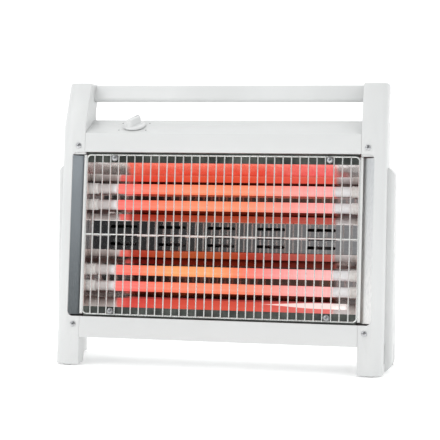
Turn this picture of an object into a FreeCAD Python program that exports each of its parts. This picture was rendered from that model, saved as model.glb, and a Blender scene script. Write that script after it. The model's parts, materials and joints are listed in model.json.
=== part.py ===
"""Free-standing quartz room heater: four tubes behind a wire grille in a white casing.

Millimetres, +Z up, front towards -Y, +X to the right of someone who faces it.
The origin is the middle of the footprint, on the floor.

Three frames are used.  The upright frame measures depth from the front of the feet and
height from the floor.  The leaning frame is the same, tipped back by the lean of the front
face about the front edge of the feet: its depth is measured square to the front face.  The
dial frame lies on the sloped control panel with the knob's centre as its origin.
"""
import FreeCAD
import Part
import Sketcher
import math
import os

Vector = FreeCAD.Vector

# Driving dimensions: name, value in mm (angles in degrees), what it is.
SIZES = [
    ("overall_width", 511.0, "across the two side covers"),
    ("overall_height", 425.0, "floor to the top of the posts"),
    ("overall_depth", 150.0, "front of the feet to back of the feet"),
    ("lean_angle", 5.0, "lean of the front face"),
    ("pad_height", 2.2, "rubber foot pads below the mouldings"),
    ("pad_radius", 7.0, "rubber foot pads"),
    ("sheet", 1.0, "casing sheet thickness"),
    ("thin_sheet", 0.6, "polished sheet thickness"),
    ("gap", 0.3, "clear distance between neighbouring pieces"),
    ("fit", 0.1, "radial clearance of a plain fit"),
    ("running_fit", 0.06, "radial clearance of a turning fit"),
    ("cover_step", 11.0, "thickness of a side cover"),
    ("cover_wall", 2.7, "wall of a side cover"),
    ("cover_front", 47.0, "front edge of a side cover at the floor"),
    ("cover_drop", 69.2, "control panel's top to the top of a side cover"),
    ("cover_bevel", 9.0, "bevel at the top of a side cover"),
    ("cover_round", 6.0, "rounding of a side cover's edges"),
    ("back_foot_depth", 32.0, "back foot, front to back"),
    ("back_foot_width", 17.0, "back foot, side to side"),
    ("arch_height", 32.0, "arch between front and back feet"),
    ("frame_width", 37.0, "side frame, side to side"),
    ("frame_wall", 3.0, "wall of a side frame"),
    ("frame_round", 17.0, "outer front edge of a side frame"),
    ("edge_round", 3.0, "small rounded edges"),
    ("leg_depth", 30.0, "front foot, front to back"),
    ("leg_height", 42.8, "front foot up to the bottom band"),
    ("leg_round", 12.0, "back lower edge of a front foot"),
    ("bottom_band", 31.0, "band below the opening"),
    ("top_band", 28.0, "band above the opening"),
    ("handle_rise", 77.3, "fold above the top band to the top of the posts"),
    ("panel_run", 47.0, "control panel, front to back"),
    ("panel_angle", 24.6, "slope of the control panel"),
    ("casing_depth", 112.0, "back of the casing"),
    ("post_bend", 14.0, "fold to the bend of a post"),
    ("post_lean", 25.0, "lean of a post"),
    ("post_depth", 44.0, "post, front to back"),
    ("post_neck", 18.0, "control panel's top to the start of the post's back slope"),
    ("bar_height", 25.5, "handle bar"),
    ("bar_thickness", 17.0, "handle bar, front to back"),
    ("bar_drop", 1.8, "top of the posts to the top of the bar"),
    ("bar_round", 5.0, "long edges of the handle bar"),
    ("bar_tenon", 6.0, "handle bar end let into a post"),
    ("notch_width", 19.0, "side frame's inner face to the edge of the opening"),
    ("notch_round", 8.0, "corners of the opening"),
    ("rail_height", 15.3, "dark rails above and below the reflectors"),
    ("rail_depth", 9.0, "front face to the rails"),
    ("rail_flange", 20.0, "turned edge of a rail"),
    ("vent_height", 44.6, "slotted panel between the reflectors"),
    ("vent_depth", 27.0, "front face to the slotted panel"),
    ("slot_length", 42.0, "cooling slot"),
    ("slot_width", 4.6, "cooling slot"),
    ("slot_pitch", 75.0, "cooling slots, side to side"),
    ("slot_rows", 13.0, "cooling slots, row to row"),
    ("knee_depth", 37.0, "fold of a reflector behind its lips"),
    ("reflector_depth", 54.0, "front face to the back of a reflector"),
    ("upper_knee", 0.30, "outer lip of the upper reflector to its fold, as a share of its height"),
    ("lower_knee", 0.183, "outer lip of the lower reflector to its fold, as a share of its height"),
    ("inner_knee", 0.116, "inner lip of a reflector to its fold, as a share of its height"),
    ("back_step", 0.116, "fold of a reflector to its flat back, as a share of its height"),
    ("end_plate_gap", 1.5, "side frame's inner face to an end plate"),
    ("end_plate_depth", 62.0, "front face to the back edge of an end plate"),
    ("tube_diameter", 15.0, "quartz tube"),
    ("tube_wall", 1.2, "quartz tube"),
    ("tube_depth", 34.0, "front face to the tubes' axes"),
    ("tube_pitch", 24.5, "tubes of one pair"),
    ("tube_drop", 3.15, "pairs of tubes below an even placing"),
    ("pair_inset", 3.7, "middle of a reflector to the middle of its pair, towards the slotted panel"),
    ("tube_inset", 4.5, "side frame's inner face to the end of a tube"),
    ("coil_diameter", 9.0, "wound heating wire, outside"),
    ("coil_inset", 36.0, "end of a tube to the end of the winding"),
    ("cap_wall", 1.0, "ceramic cap round its tube"),
    ("cap_grip", 10.0, "length of a cap on its tube"),
    ("cap_reach", 19.0, "length of a cap beyond its tube"),
    ("cap_neck", 12.0, "ceramic cap where its bracket holds it"),
    ("cap_neck_length", 10.0, "ceramic cap's neck"),
    ("end_hole_margin", 2.0, "hole in an end plate round a cap"),
    ("bracket_sheet", 1.2, "lamp bracket"),
    ("lead_diameter", 5.0, "sleeved leads"),
    ("lead_stand", 7.0, "end of the caps to the upright leads"),
    ("shield_depth", 66.0, "front face to the heat shield"),
    ("shield_rise", 27.0, "opening's lower edge to the heat shield's"),
    ("wire_diameter", 2.0, "upright wires of the grille"),
    ("wire_pitch", 12.44, "upright wires of the grille"),
    ("wire_end", 0.7, "upright wires past the middle of the rim's wire"),
    ("middle_wire", 2.3, "middle wire of the grille"),
    ("rim_diameter", 2.5, "rim of the grille"),
    ("rim_inset", 2.5, "side frame's inner face to the rim's wire"),
    ("rim_margin", 4.0, "edge of the opening to the rim's wire"),
    ("rim_round", 6.0, "corners of the rim"),
    ("weld", 0.25, "depth of the welds between crossing wires"),
    ("clip_pitches", 13.0, "grille screws, in wire pitches from the middle"),
    ("trim_front", 3.2, "front face to the outer edge of a trim"),
    ("trim_back", 14.0, "front face to the fold of a trim"),
    ("trim_tail", 10.5, "turned edge of a trim"),
    ("trim_inset", 3.0, "side frame's inner face to the fold of a trim"),
    ("bezel_screw_inset", 9.5, "side frame's inner face to the front screws"),
    ("bezel_screw_low", 11.6, "opening to the lower front screws"),
    ("bezel_screw_high", 9.2, "opening to the upper front screws"),
    ("screw_radius", 2.0, "shank of a 4.2 mm tapping screw, less its thread"),
    ("head_radius", 4.0, "head of a tapping screw"),
    ("head_height", 2.6, "head of a tapping screw"),
    ("screw_sink", 3.6, "depth of a sunk screw's seat"),
    ("screw_length", 12.0, "shank of a casing screw"),
    ("short_screw", 7.0, "shank of a sheet screw"),
    ("washer_radius", 4.8, "washer of a grille screw"),
    ("washer_height", 1.0, "washer of a grille screw"),
    ("knob_inset", 70.0, "left side frame to the knob's axis"),
    ("knob_diameter", 34.0, "knob"),
    ("knob_base", 4.5, "skirt of the knob"),
    ("knob_height", 15.0, "knob"),
    ("grip_width", 9.0, "finger grip of the knob"),
    ("shaft_diameter", 6.0, "switch shaft"),
    ("shaft_length", 17.0, "switch shaft above the panel"),
    ("bush_diameter", 9.6, "threaded bush of the switch"),
    ("bush_length", 2.6, "threaded bush above the panel"),
    ("nut_width", 14.0, "switch nut across flats"),
    ("nut_height", 2.0, "switch nut"),
    ("switch_width", 34.0, "selector switch body"),
    ("switch_height", 22.0, "selector switch body"),
    ("tilt_inset", 60.0, "right side frame to the tilt switch"),
    ("tilt_width", 26.0, "tilt switch case"),
    ("tilt_depth", 34.0, "tilt switch case"),
    ("tilt_height", 40.0, "tilt switch case"),
    ("tilt_wall", 2.0, "tilt switch case"),
    ("tilt_pin", 3.0, "pivot pin of the tilt switch, diameter"),
    ("tilt_arm", 18.0, "pivot pin to the middle of the weight"),
    ("tilt_weight", 11.0, "weight of the tilt switch, diameter"),
    ("louvre_length", 46.0, "louvre in the rear cover"),
    ("louvre_width", 5.0, "louvre in the rear cover"),
    ("louvre_pitch", 60.0, "louvres, side to side"),
    ("louvre_rows", 13.0, "louvres, row to row"),
    ("gland_radius", 6.5, "cable entry, body"),
    ("gland_bore", 3.8, "cable entry, bore"),
    ("gland_inset", 42.0, "right side frame to the cable entry"),
    ("gland_rise", 34.0, "casing floor to the cable entry"),
]


class Size:
    """A length or angle that carries its spreadsheet expression and its present value."""

    def __init__(self, text, value):
        self.text = text
        self.value = value

    @staticmethod
    def of(other):
        return other if isinstance(other, Size) else Size("%.6g" % other, float(other))

    def joined(self, sign, other, value):
        return Size("(%s %s %s)" % (self.text, sign, other.text), value)

    def __add__(self, other):
        other = Size.of(other)
        return self.joined("+", other, self.value + other.value)

    def __sub__(self, other):
        other = Size.of(other)
        return self.joined("-", other, self.value - other.value)

    def __mul__(self, other):
        other = Size.of(other)
        return self.joined("*", other, self.value * other.value)

    def __truediv__(self, other):
        other = Size.of(other)
        return self.joined("/", other, self.value / other.value)

    def __radd__(self, other):
        return Size.of(other) + self

    def __rsub__(self, other):
        return Size.of(other) - self

    def __rmul__(self, other):
        return Size.of(other) * self

    def __neg__(self):
        return Size("(0 - %s)" % self.text, -self.value)


def cosine(angle):
    return Size("cos(%s)" % angle.text, math.cos(math.radians(angle.value)))


def sine(angle):
    return Size("sin(%s)" % angle.text, math.sin(math.radians(angle.value)))


def tangent(angle):
    return sine(angle) / cosine(angle)


def floor(size):
    return Size("floor(%s)" % size.text, float(math.floor(size.value)))


doc = FreeCAD.newDocument("quartz_heater")
sheet = doc.addObject("Spreadsheet::Sheet", "sizes")


class Names:
    """The spreadsheet's cells, one attribute for each alias."""


S = Names()
for row, (alias, value, note) in enumerate(SIZES, start=1):
    sheet.set("A%d" % row, alias)
    sheet.set("B%d" % row, "%.6g" % value)
    sheet.set("C%d" % row, note)
    sheet.setAlias("B%d" % row, alias)
    setattr(S, alias, Size("sizes.%s" % alias, value))
doc.recompute()

# Places that several pieces share, worked out from the driving dimensions.
COS = cosine(S.lean_angle)
SIN = sine(S.lean_angle)
TAN = tangent(S.lean_angle)
COVER_OUT = S.overall_width / 2
FRAME_OUT = COVER_OUT - S.cover_step
FRAME_IN = FRAME_OUT - S.frame_width
FOLD_Z = S.overall_height - S.handle_rise
FOLD_S = FOLD_Z / COS
OPEN_LOW = S.leg_height + S.bottom_band
OPEN_HIGH = FOLD_S - S.top_band
OPEN_MID = (OPEN_LOW + OPEN_HIGH) / 2
PANEL_TOP_Y = FOLD_Z * TAN + S.panel_run
PANEL_TOP_Z = FOLD_Z + S.panel_run * tangent(S.panel_angle)
PANEL_MID_Y = PANEL_TOP_Y - S.panel_run / 2
PANEL_MID_Z = (FOLD_Z + PANEL_TOP_Z) / 2
ROOF_Z = PANEL_TOP_Z - S.sheet
COVER_TOP = PANEL_TOP_Z - S.cover_drop
FLOOR_Z = S.leg_height * COS
FRONT_Y = -(S.overall_depth + S.pad_height * TAN) / 2
POST_BEND_Z = FOLD_Z + S.post_bend
POST_TOP_Y = POST_BEND_Z * TAN + (S.overall_height - POST_BEND_Z) * tangent(S.post_lean)
POST_BACK_Z = PANEL_TOP_Z + S.post_neck
POST_BACK_Y = (POST_TOP_Y + S.post_depth
               - (S.overall_height - POST_BACK_Z) * tangent(S.post_lean))
BAR_TOP_Z = S.overall_height - S.bar_drop
BAR_LOW_Z = BAR_TOP_Z - S.bar_height
TROUGH_HIGH = OPEN_HIGH - S.rail_height
TROUGH_LOW = OPEN_LOW + S.rail_height
VENT_HIGH = OPEN_MID + S.vent_height / 2
VENT_LOW = OPEN_MID - S.vent_height / 2
END_PLATE_IN = FRAME_IN - S.end_plate_gap
TUBE_HALF = FRAME_IN - S.tube_inset
CAP_START = TUBE_HALF - S.cap_grip
CAP_RADIUS = S.tube_diameter / 2 + S.cap_wall
CAP_END = TUBE_HALF + S.cap_reach
PAIR_HEIGHTS = [(outer + inner) / 2 - way * S.pair_inset - S.tube_drop
                for outer, inner, way in ((TROUGH_HIGH, VENT_HIGH, 1), (TROUGH_LOW, VENT_LOW, -1))]
TUBE_HEIGHTS = [pair + half * S.tube_pitch / 2 for pair in PAIR_HEIGHTS for half in (1, -1)]
RIM_DEPTH = S.rail_depth - S.rim_diameter / 2 - 0.1
WIRE_DEPTH = RIM_DEPTH - (S.rim_diameter + S.wire_diameter) / 2 + S.weld
RIM_HALF = FRAME_IN - S.rim_inset
KNOB_X = S.knob_inset - FRAME_IN
TILT_X = FRAME_IN - S.tilt_inset
GLAND_X = FRAME_IN - S.gland_inset
GLAND_Z = FLOOR_Z + S.gland_rise

nodes = []


def keep(thing, name):
    """Names a finished sub-part, so that it is written out."""
    thing.Label = name
    nodes.append(thing)
    return thing


def stand_upright(thing):
    thing.setExpression("Placement.Base.y", FRONT_Y.text)


def lean_back(thing):
    thing.Placement = FreeCAD.Placement(Vector(0, 0, 0), Vector(1, 0, 0), -S.lean_angle.value)
    thing.setExpression("Placement.Rotation.Angle", (-S.lean_angle).text)
    stand_upright(thing)


def lie_on_panel(thing):
    """Puts the piece's origin on the control panel's outside, at the knob's axis."""
    thing.Placement = FreeCAD.Placement(Vector(0, 0, 0), Vector(1, 0, 0), S.panel_angle.value)
    thing.setExpression("Placement.Rotation.Angle", S.panel_angle.text)
    thing.setExpression("Placement.Base.x", KNOB_X.text)
    thing.setExpression("Placement.Base.y", (PANEL_MID_Y + FRONT_Y).text)
    thing.setExpression("Placement.Base.z", PANEL_MID_Z.text)


def new_body(name, place):
    body = doc.addObject("PartDesign::Body", name)
    place(body)
    return keep(body, name)


def new_sketch(body, role, at):
    """A sketch on one of the body's own planes, moved along the axis square to that plane.

    The role "front" tips the XZ plane back with the front face, so that an upright body can be
    worked square to that face.  For it and for the XZ plane the move is a depth.  The role
    "panel" lays the XY plane on the control panel, centred on the knob's axis.
    """
    origin_role = {"front": "XZ_Plane", "panel": "XY_Plane"}.get(role, role)
    plane = [item for item in body.Origin.OriginFeatures if item.Role == origin_role][0]
    sketch = body.newObject("Sketcher::SketchObject", body.Name + "_sketch")
    sketch.AttachmentSupport = [(plane, "")]
    sketch.MapMode = "FlatFace"
    at = Size.of(at)
    if role == "front":
        sketch.AttachmentOffset = FreeCAD.Placement(Vector(0, 0, 0), Vector(1, 0, 0), -S.lean_angle.value)
        sketch.setExpression("AttachmentOffset.Rotation.Angle", (-S.lean_angle).text)
        sketch.setExpression("AttachmentOffset.Base.y", (-at * SIN).text)
        sketch.setExpression("AttachmentOffset.Base.z", (-at * COS).text)
    elif role == "panel":
        angle = S.panel_angle
        sketch.AttachmentOffset = FreeCAD.Placement(Vector(0, 0, 0), Vector(1, 0, 0), angle.value)
        sketch.setExpression("AttachmentOffset.Rotation.Angle", angle.text)
        sketch.setExpression("AttachmentOffset.Base.x", KNOB_X.text)
        sketch.setExpression("AttachmentOffset.Base.y", (PANEL_MID_Y - at * sine(angle)).text)
        sketch.setExpression("AttachmentOffset.Base.z", (PANEL_MID_Z + at * cosine(angle)).text)
    else:
        along = -at if role == "XZ_Plane" else at
        sketch.setExpression("AttachmentOffset.Base.z", along.text)
    return sketch


def pin(sketch, kind, geometry, point, size):
    """Fixes one coordinate of a sketch point, or a radius when point is None."""
    if point is None:
        rule = Sketcher.Constraint(kind, geometry, size.value)
    else:
        rule = Sketcher.Constraint(kind, -1, 1, geometry, point, size.value)
    index = sketch.addConstraint(rule)
    sketch.setExpression("Constraints[%d]" % index, size.text)


def draw_outline(sketch, corners):
    corners = [(Size.of(x), Size.of(y)) for x, y in corners]
    first = sketch.GeometryCount
    count = len(corners)
    for index, (x, y) in enumerate(corners):
        x2, y2 = corners[(index + 1) % count]
        line = Part.LineSegment(Vector(x.value, y.value, 0), Vector(x2.value, y2.value, 0))
        sketch.addGeometry(line, False)
    for index, (x, y) in enumerate(corners):
        following = first + (index + 1) % count
        sketch.addConstraint(Sketcher.Constraint("Coincident", first + index, 2, following, 1))
        pin(sketch, "DistanceX", first + index, 1, x)
        pin(sketch, "DistanceY", first + index, 1, y)


def draw_circle(sketch, x, y, radius):
    x, y, radius = Size.of(x), Size.of(y), Size.of(radius)
    circle = Part.Circle(Vector(x.value, y.value, 0), Vector(0, 0, 1), radius.value)
    index = sketch.addGeometry(circle, False)
    pin(sketch, "DistanceX", index, 3, x)
    pin(sketch, "DistanceY", index, 3, y)
    pin(sketch, "Radius", index, None, radius)


def draw_slot(sketch, x, y, length, width):
    """A round-ended slot lying along the sketch's first axis."""
    reach = (length - width) / 2
    radius = width / 2
    ends = [x + reach, x - reach]
    low, high = y - radius, y + radius
    arcs = []
    for end, start in ((ends[0], -math.pi / 2), (ends[1], math.pi / 2)):
        circle = Part.Circle(Vector(end.value, y.value, 0), Vector(0, 0, 1), radius.value)
        arcs.append(sketch.addGeometry(Part.ArcOfCircle(circle, start, start + math.pi), False))
    for left, right, level in ((ends[1], ends[0], low), (ends[0], ends[1], high)):
        line = Part.LineSegment(Vector(left.value, level.value, 0),
                                Vector(right.value, level.value, 0))
        arcs.append(sketch.addGeometry(line, False))
    right_arc, left_arc, low_line, high_line = arcs
    for first, first_end, second, second_end in ((low_line, 2, right_arc, 1), (right_arc, 2, high_line, 1),
                                                 (high_line, 2, left_arc, 1), (left_arc, 2, low_line, 1)):
        sketch.addConstraint(Sketcher.Constraint("Coincident", first, first_end, second, second_end))
    for line, start, end, level in ((low_line, ends[1], ends[0], low), (high_line, ends[0], ends[1], high)):
        pin(sketch, "DistanceX", line, 1, start)
        pin(sketch, "DistanceX", line, 2, end)
        pin(sketch, "DistanceY", line, 1, level)
    for arc, end in ((right_arc, ends[0]), (left_arc, ends[1])):
        pin(sketch, "DistanceX", arc, 3, end)
        pin(sketch, "DistanceY", arc, 3, y)


def pad(body, role, low, high, draw):
    """Adds material between two places along the plane's axis."""
    low, high = Size.of(low), Size.of(high)
    sketch = new_sketch(body, role, low)
    draw(sketch)
    feature = body.newObject("PartDesign::Pad", body.Name + "_pad")
    feature.Profile = sketch
    feature.setExpression("Length", (high - low).text)
    feature.Reversed = role in ("XZ_Plane", "front")
    doc.recompute()
    return feature


def cut(body, role, low, high, draw):
    """Removes material between two places along the plane's axis."""
    low, high = Size.of(low), Size.of(high)
    before = body.Shape.Volume
    sketch = new_sketch(body, role, low)
    draw(sketch)
    feature = body.newObject("PartDesign::Pocket", body.Name + "_cut")
    feature.Profile = sketch
    feature.setExpression("Length", (high - low).text)
    feature.Reversed = role not in ("XZ_Plane", "front")
    doc.recompute()
    if body.Shape.Volume > before - 0.01:
        raise ValueError("%s: a cut removed nothing" % body.Label)
    return feature


def outline(corners):
    return lambda sketch: draw_outline(sketch, corners)


def circle(x, y, radius):
    return lambda sketch: draw_circle(sketch, x, y, radius)


def rectangle(x1, y1, x2, y2):
    return outline([(x1, y1), (x2, y1), (x2, y2), (x1, y2)])


def edges_where(shape, test):
    return ["Edge%d" % (index + 1) for index, edge in enumerate(shape.Edges) if test(edge)]


def faces_where(shape, test):
    return ["Face%d" % (index + 1) for index, face in enumerate(shape.Faces) if test(face)]


def near(one, two, allowed=0.05):
    return abs(one - two) < allowed


def round_edges(body, radius, test, kind="Fillet"):
    base = body.Tip
    names = edges_where(base.Shape, test)
    if not names:
        raise ValueError("%s: no edge to round" % body.Label)
    feature = body.newObject("PartDesign::" + kind, body.Name + "_" + kind.lower())
    feature.Base = (base, names)
    feature.setExpression("Radius" if kind == "Fillet" else "Size", Size.of(radius).text)
    doc.recompute()
    return feature


def make_sheet(body, thickness, open_face, outward=False):
    """Leaves a sheet of the given thickness, open at both ends and where open_face says."""
    base = body.Tip
    box = base.Shape.BoundBox

    def is_open(face):
        middle = face.CenterOfMass
        return near(middle.x, box.XMin) or near(middle.x, box.XMax) or open_face(face, middle)

    feature = body.newObject("PartDesign::Thickness", body.Name + "_sheet")
    feature.Base = (base, faces_where(base.Shape, is_open))
    feature.setExpression("Value", thickness.text)
    feature.Join = "Intersection"
    feature.Reversed = not outward
    doc.recompute()
    return feature


def sided(side, low, high):
    """The two ends of a stretch of X on the right (1) or its mirror image on the left (-1)."""
    return (Size.of(low), Size.of(high)) if side > 0 else (-Size.of(high), -Size.of(low))


def side_frame_outline():
    return [(S.pad_height * TAN, S.pad_height),
            (POST_BEND_Z * TAN, POST_BEND_Z),
            (POST_TOP_Y, S.overall_height),
            (POST_TOP_Y + S.post_depth, S.overall_height),
            (POST_BACK_Y, POST_BACK_Z),
            (POST_BACK_Y, ROOF_Z),
            (S.casing_depth, ROOF_Z),
            (S.casing_depth, FLOOR_Z),
            (S.leg_depth + FLOOR_Z * TAN, FLOOR_Z),
            (S.leg_depth, S.pad_height)]


def make_side_frame(name, side):
    """Front foot, end cheek of the casing and handle post, moulded in one."""
    body = new_body(name, stand_upright)
    low, high = sided(side, FRAME_IN, FRAME_OUT)
    pad(body, "YZ_Plane", low, high, outline(side_frame_outline()))
    low_z = OPEN_LOW * COS - 1
    high_z = OPEN_HIGH * COS - 4
    wall = S.frame_wall / COS
    low, high = sided(side, FRAME_IN - 1, FRAME_OUT - S.frame_wall)
    cut(body, "YZ_Plane", low, high, outline([
        (low_z * TAN + wall, low_z),
        (high_z * TAN + wall, high_z),
        (S.casing_depth - S.frame_wall, high_z),
        (S.casing_depth - S.frame_wall, low_z)]))
    inner = (side * (FRAME_OUT - S.frame_wall)).value
    hollow_front = (low_z * TAN + wall).value

    def hollow_corner(edge):
        box = edge.BoundBox
        flat = near(box.XMin, inner) and near(box.XMax, inner)
        return flat and near(box.YMin, hollow_front) and box.ZLength > 50

    round_edges(body, S.frame_round - S.frame_wall, hollow_corner)
    outer = (FRAME_OUT * side).value
    top = S.overall_height.value

    def foot_back(edge):
        box = edge.BoundBox
        return box.XLength > 5 and near(box.YMin, S.leg_depth.value) and near(box.ZMax, S.pad_height.value)

    def outer_front(edge):
        box = edge.BoundBox
        flat = near(box.XMin, outer) and near(box.XMax, outer)
        low_part = near(box.YMin, (S.pad_height * TAN).value) and box.ZLength > 50
        post_part = near(box.ZMin, POST_BEND_Z.value) and near(box.YMin, (POST_BEND_Z * TAN).value)
        return flat and (low_part or post_part)

    def post_top(edge):
        return near(edge.BoundBox.ZMin, top) and near(edge.BoundBox.ZMax, top)

    round_edges(body, S.leg_round, foot_back)
    round_edges(body, S.frame_round, outer_front)
    round_edges(body, S.edge_round, post_top)
    cut_notch(body, side)
    for height in (OPEN_LOW - S.bezel_screw_low, OPEN_HIGH + S.bezel_screw_high):
        x = side * (FRAME_IN + S.bezel_screw_inset)
        cut(body, "front", -1, S.screw_length + 1, circle(x, height, S.screw_radius + S.fit))
    low, high = sided(side, FRAME_IN - 1, FRAME_IN + S.bar_tenon + S.gap)
    cut(body, "YZ_Plane", low, high, outline(bar_outline(S.fit)))
    socket = (FRAME_IN * side).value
    round_edges(body, S.bar_round, lambda edge: is_socket_corner(edge, socket))
    middle_y, middle_z = bar_middle()
    low, high = sided(side, FRAME_IN, FRAME_OUT + 1)
    cut(body, "YZ_Plane", low, high, circle(middle_y, middle_z, S.screw_radius + S.fit))
    low, high = sided(side, FRAME_OUT - S.screw_sink, FRAME_OUT + 1)
    cut(body, "YZ_Plane", low, high, circle(middle_y, middle_z, S.head_radius + S.gap))
    low, high = sided(side, FRAME_OUT - 2 * S.frame_wall, FRAME_OUT + 1)
    for y, z in side_screw_places():
        cut(body, "YZ_Plane", low, high, circle(y, z, S.screw_radius + S.fit))


def cut_notch(body, side):
    """The side frame's share of the front opening."""
    low, high = sided(side, FRAME_IN - 1, FRAME_IN + S.notch_width)
    cut(body, "front", -1, S.frame_wall + 0.5, rectangle(low, OPEN_LOW, high, OPEN_HIGH))
    corner = (high if side > 0 else low).value
    ends = [(OPEN_LOW * COS).value, (OPEN_HIGH * COS).value]

    def corner_edge(edge):
        box = edge.BoundBox
        across = near(box.XMin, corner) and near(box.XMax, corner)
        return across and box.ZLength < 1 and any(near(box.ZMin, end, 1.5) for end in ends)

    round_edges(body, S.notch_round, corner_edge)


def bar_outline(grow):
    """Cross-section of the handle bar, leaning as the posts do."""
    slope = tangent(S.post_lean)
    back_top = POST_TOP_Y + S.post_depth - S.bar_drop * slope - S.gap * 4
    front_top = back_top - S.bar_thickness
    shift = S.bar_height * slope
    return [(front_top - grow, BAR_TOP_Z + grow),
            (back_top + grow, BAR_TOP_Z + grow),
            (back_top - shift + grow, BAR_LOW_Z - grow),
            (front_top - shift - grow, BAR_LOW_Z - grow)]


def is_socket_corner(edge, inner_face):
    """True for the four edges along the bar in the pocket that takes its end."""
    box = edge.BoundBox
    along = box.YLength < 0.01 and box.ZLength < 0.01
    starts = near(min(abs(box.XMin), abs(box.XMax)), abs(inner_face))
    length = near(box.XLength, (S.bar_tenon + S.gap).value)
    return along and starts and length and box.ZMin > BAR_LOW_Z.value - 1


def bar_middle():
    corners = bar_outline(Size.of(0))
    return (corners[0][0] + corners[2][0]) / 2, (BAR_TOP_Z + BAR_LOW_Z) / 2


def make_handle_bar():
    """Bar between the posts: its ends are let into them and held by one screw each."""
    body = new_body("handle_bar", stand_upright)
    reach = FRAME_IN + S.bar_tenon
    pad(body, "YZ_Plane", -reach, reach, outline(bar_outline(Size.of(0))))
    round_edges(body, S.bar_round, lambda edge: edge.BoundBox.XLength > 50)
    middle_y, middle_z = bar_middle()
    depth = S.screw_length + S.bar_tenon
    cut(body, "YZ_Plane", reach - depth, reach + 1, circle(middle_y, middle_z, S.screw_radius + S.fit))
    cut(body, "YZ_Plane", -reach - 1, depth - reach, circle(middle_y, middle_z, S.screw_radius + S.fit))


def cover_outline():
    foot_front = S.overall_depth - S.back_foot_depth
    return [(S.cover_front, S.pad_height),
            (S.cover_front + 3, COVER_TOP),
            (S.casing_depth, COVER_TOP),
            (S.overall_depth, FLOOR_Z + S.arch_height / 2),
            (S.overall_depth, S.pad_height),
            (foot_front, S.pad_height),
            (foot_front - 9, S.arch_height),
            (S.cover_front + S.leg_depth + 9, S.arch_height),
            (S.cover_front + S.leg_depth, S.pad_height)]


def side_screw_places():
    """Depth and height of the three screws of each side cover."""
    middle = (S.cover_front + S.casing_depth) / 2
    return [(middle, FLOOR_Z + 20), (middle, (FLOOR_Z + COVER_TOP) / 2), (middle, COVER_TOP - 28)]


def make_side_cover(name, side):
    """Outer skin of one end, with the back foot."""
    body = new_body(name, stand_upright)
    low, high = sided(side, FRAME_OUT, COVER_OUT)
    pad(body, "YZ_Plane", low, high, outline(cover_outline()))
    foot_front = S.overall_depth - S.back_foot_depth
    low, high = sided(side, COVER_OUT - S.back_foot_width, FRAME_OUT + 1)
    pad(body, "YZ_Plane", low, high, rectangle(
        foot_front + S.gap, S.pad_height, S.overall_depth - 1, FLOOR_Z))
    outer = (COVER_OUT * side).value

    def outer_ends(edge):
        box = edge.BoundBox
        front_toe = near(box.ZMax, S.pad_height.value) and box.YMin < foot_front.value - 20
        return (near(box.XMin, outer) and near(box.XMax, outer)
                and (near(box.ZMin, COVER_TOP.value) or front_toe))

    def outer_rim(edge):
        box = edge.BoundBox
        flat = near(box.XMin, outer) and near(box.XMax, outer)
        return flat and box.ZMax < COVER_TOP.value - S.cover_bevel.value + 1

    round_edges(body, S.cover_bevel, outer_ends, "Chamfer")
    round_edges(body, S.cover_round, outer_rim)
    low, high = sided(side, FRAME_OUT - 1, COVER_OUT - S.cover_wall)
    cut(body, "YZ_Plane", low, high, rectangle(
        S.cover_front + 6, FLOOR_Z + 4, S.casing_depth - 6, COVER_TOP - S.cover_bevel - 4))
    for y, z in side_screw_places():
        low, high = sided(side, FRAME_OUT, COVER_OUT - S.cover_wall + 0.5)
        pad(body, "YZ_Plane", low, high, circle(y, z, S.head_radius + 2))
        low, high = sided(side, COVER_OUT - S.screw_sink, COVER_OUT + 1)
        cut(body, "YZ_Plane", low, high, circle(y, z, S.head_radius + S.gap))
        low, high = sided(side, FRAME_OUT - 1, COVER_OUT)
        cut(body, "YZ_Plane", low, high, circle(y, z, S.screw_radius + S.fit))


def make_top_cover():
    """Folded sheet: the band above the opening, the control panel and the roof."""
    body = new_body("top_cover", stand_upright)
    lip = S.rail_depth - 1
    pad(body, "YZ_Plane", S.gap - FRAME_IN, FRAME_IN - S.gap, outline([
        (OPEN_HIGH * SIN, OPEN_HIGH * COS),
        (FOLD_S * SIN, FOLD_Z),
        (PANEL_TOP_Y, PANEL_TOP_Z),
        (S.casing_depth, PANEL_TOP_Z),
        (S.casing_depth, PANEL_TOP_Z - 16),
        (OPEN_HIGH * SIN + lip * COS, OPEN_HIGH * COS - lip * SIN)]))
    closing = PANEL_TOP_Z.value - 17

    def inside(face, middle):
        leaning = abs(face.normalAt(0, 0).y) < 0.9
        return leaning and middle.z < closing and middle.y > (OPEN_HIGH * SIN + lip).value

    make_sheet(body, S.sheet, inside)
    cut(body, "panel", -S.sheet - 1, 1, circle(Size.of(0), Size.of(0), S.bush_diameter / 2 + S.fit))
    for x, z in rear_screw_places()[-3:]:
        cut(body, "XZ_Plane", S.casing_depth - 3, S.casing_depth + 1, circle(x, z, S.screw_radius + S.fit))


def make_base_pan():
    """Folded sheet: the band below the opening and the casing's floor."""
    body = new_body("base_pan", stand_upright)
    lip = S.rail_depth - 1
    pad(body, "YZ_Plane", S.gap - FRAME_IN, FRAME_IN - S.gap, outline([
        (OPEN_LOW * SIN, OPEN_LOW * COS),
        (OPEN_LOW * SIN + lip * COS, OPEN_LOW * COS - lip * SIN),
        (OPEN_LOW * SIN + lip * COS - 4 * SIN, OPEN_LOW * COS - lip * SIN - 4 * COS),
        (S.casing_depth, FLOOR_Z + 18),
        (S.casing_depth, FLOOR_Z),
        (S.leg_height * SIN, S.leg_height * COS)]))

    def inside(face, middle):
        normal = face.normalAt(0, 0)
        slope = normal.z > 0.2 and middle.y > (OPEN_LOW * SIN + lip).value
        lip_end = normal.y > 0.9 and middle.y < (S.casing_depth / 2).value
        return abs(normal.x) < 0.1 and (slope or lip_end)

    make_sheet(body, S.sheet, inside)
    for x, z in rear_screw_places()[:3]:
        cut(body, "XZ_Plane", S.casing_depth - 3, S.casing_depth + 1, circle(x, z, S.screw_radius + S.fit))


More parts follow.
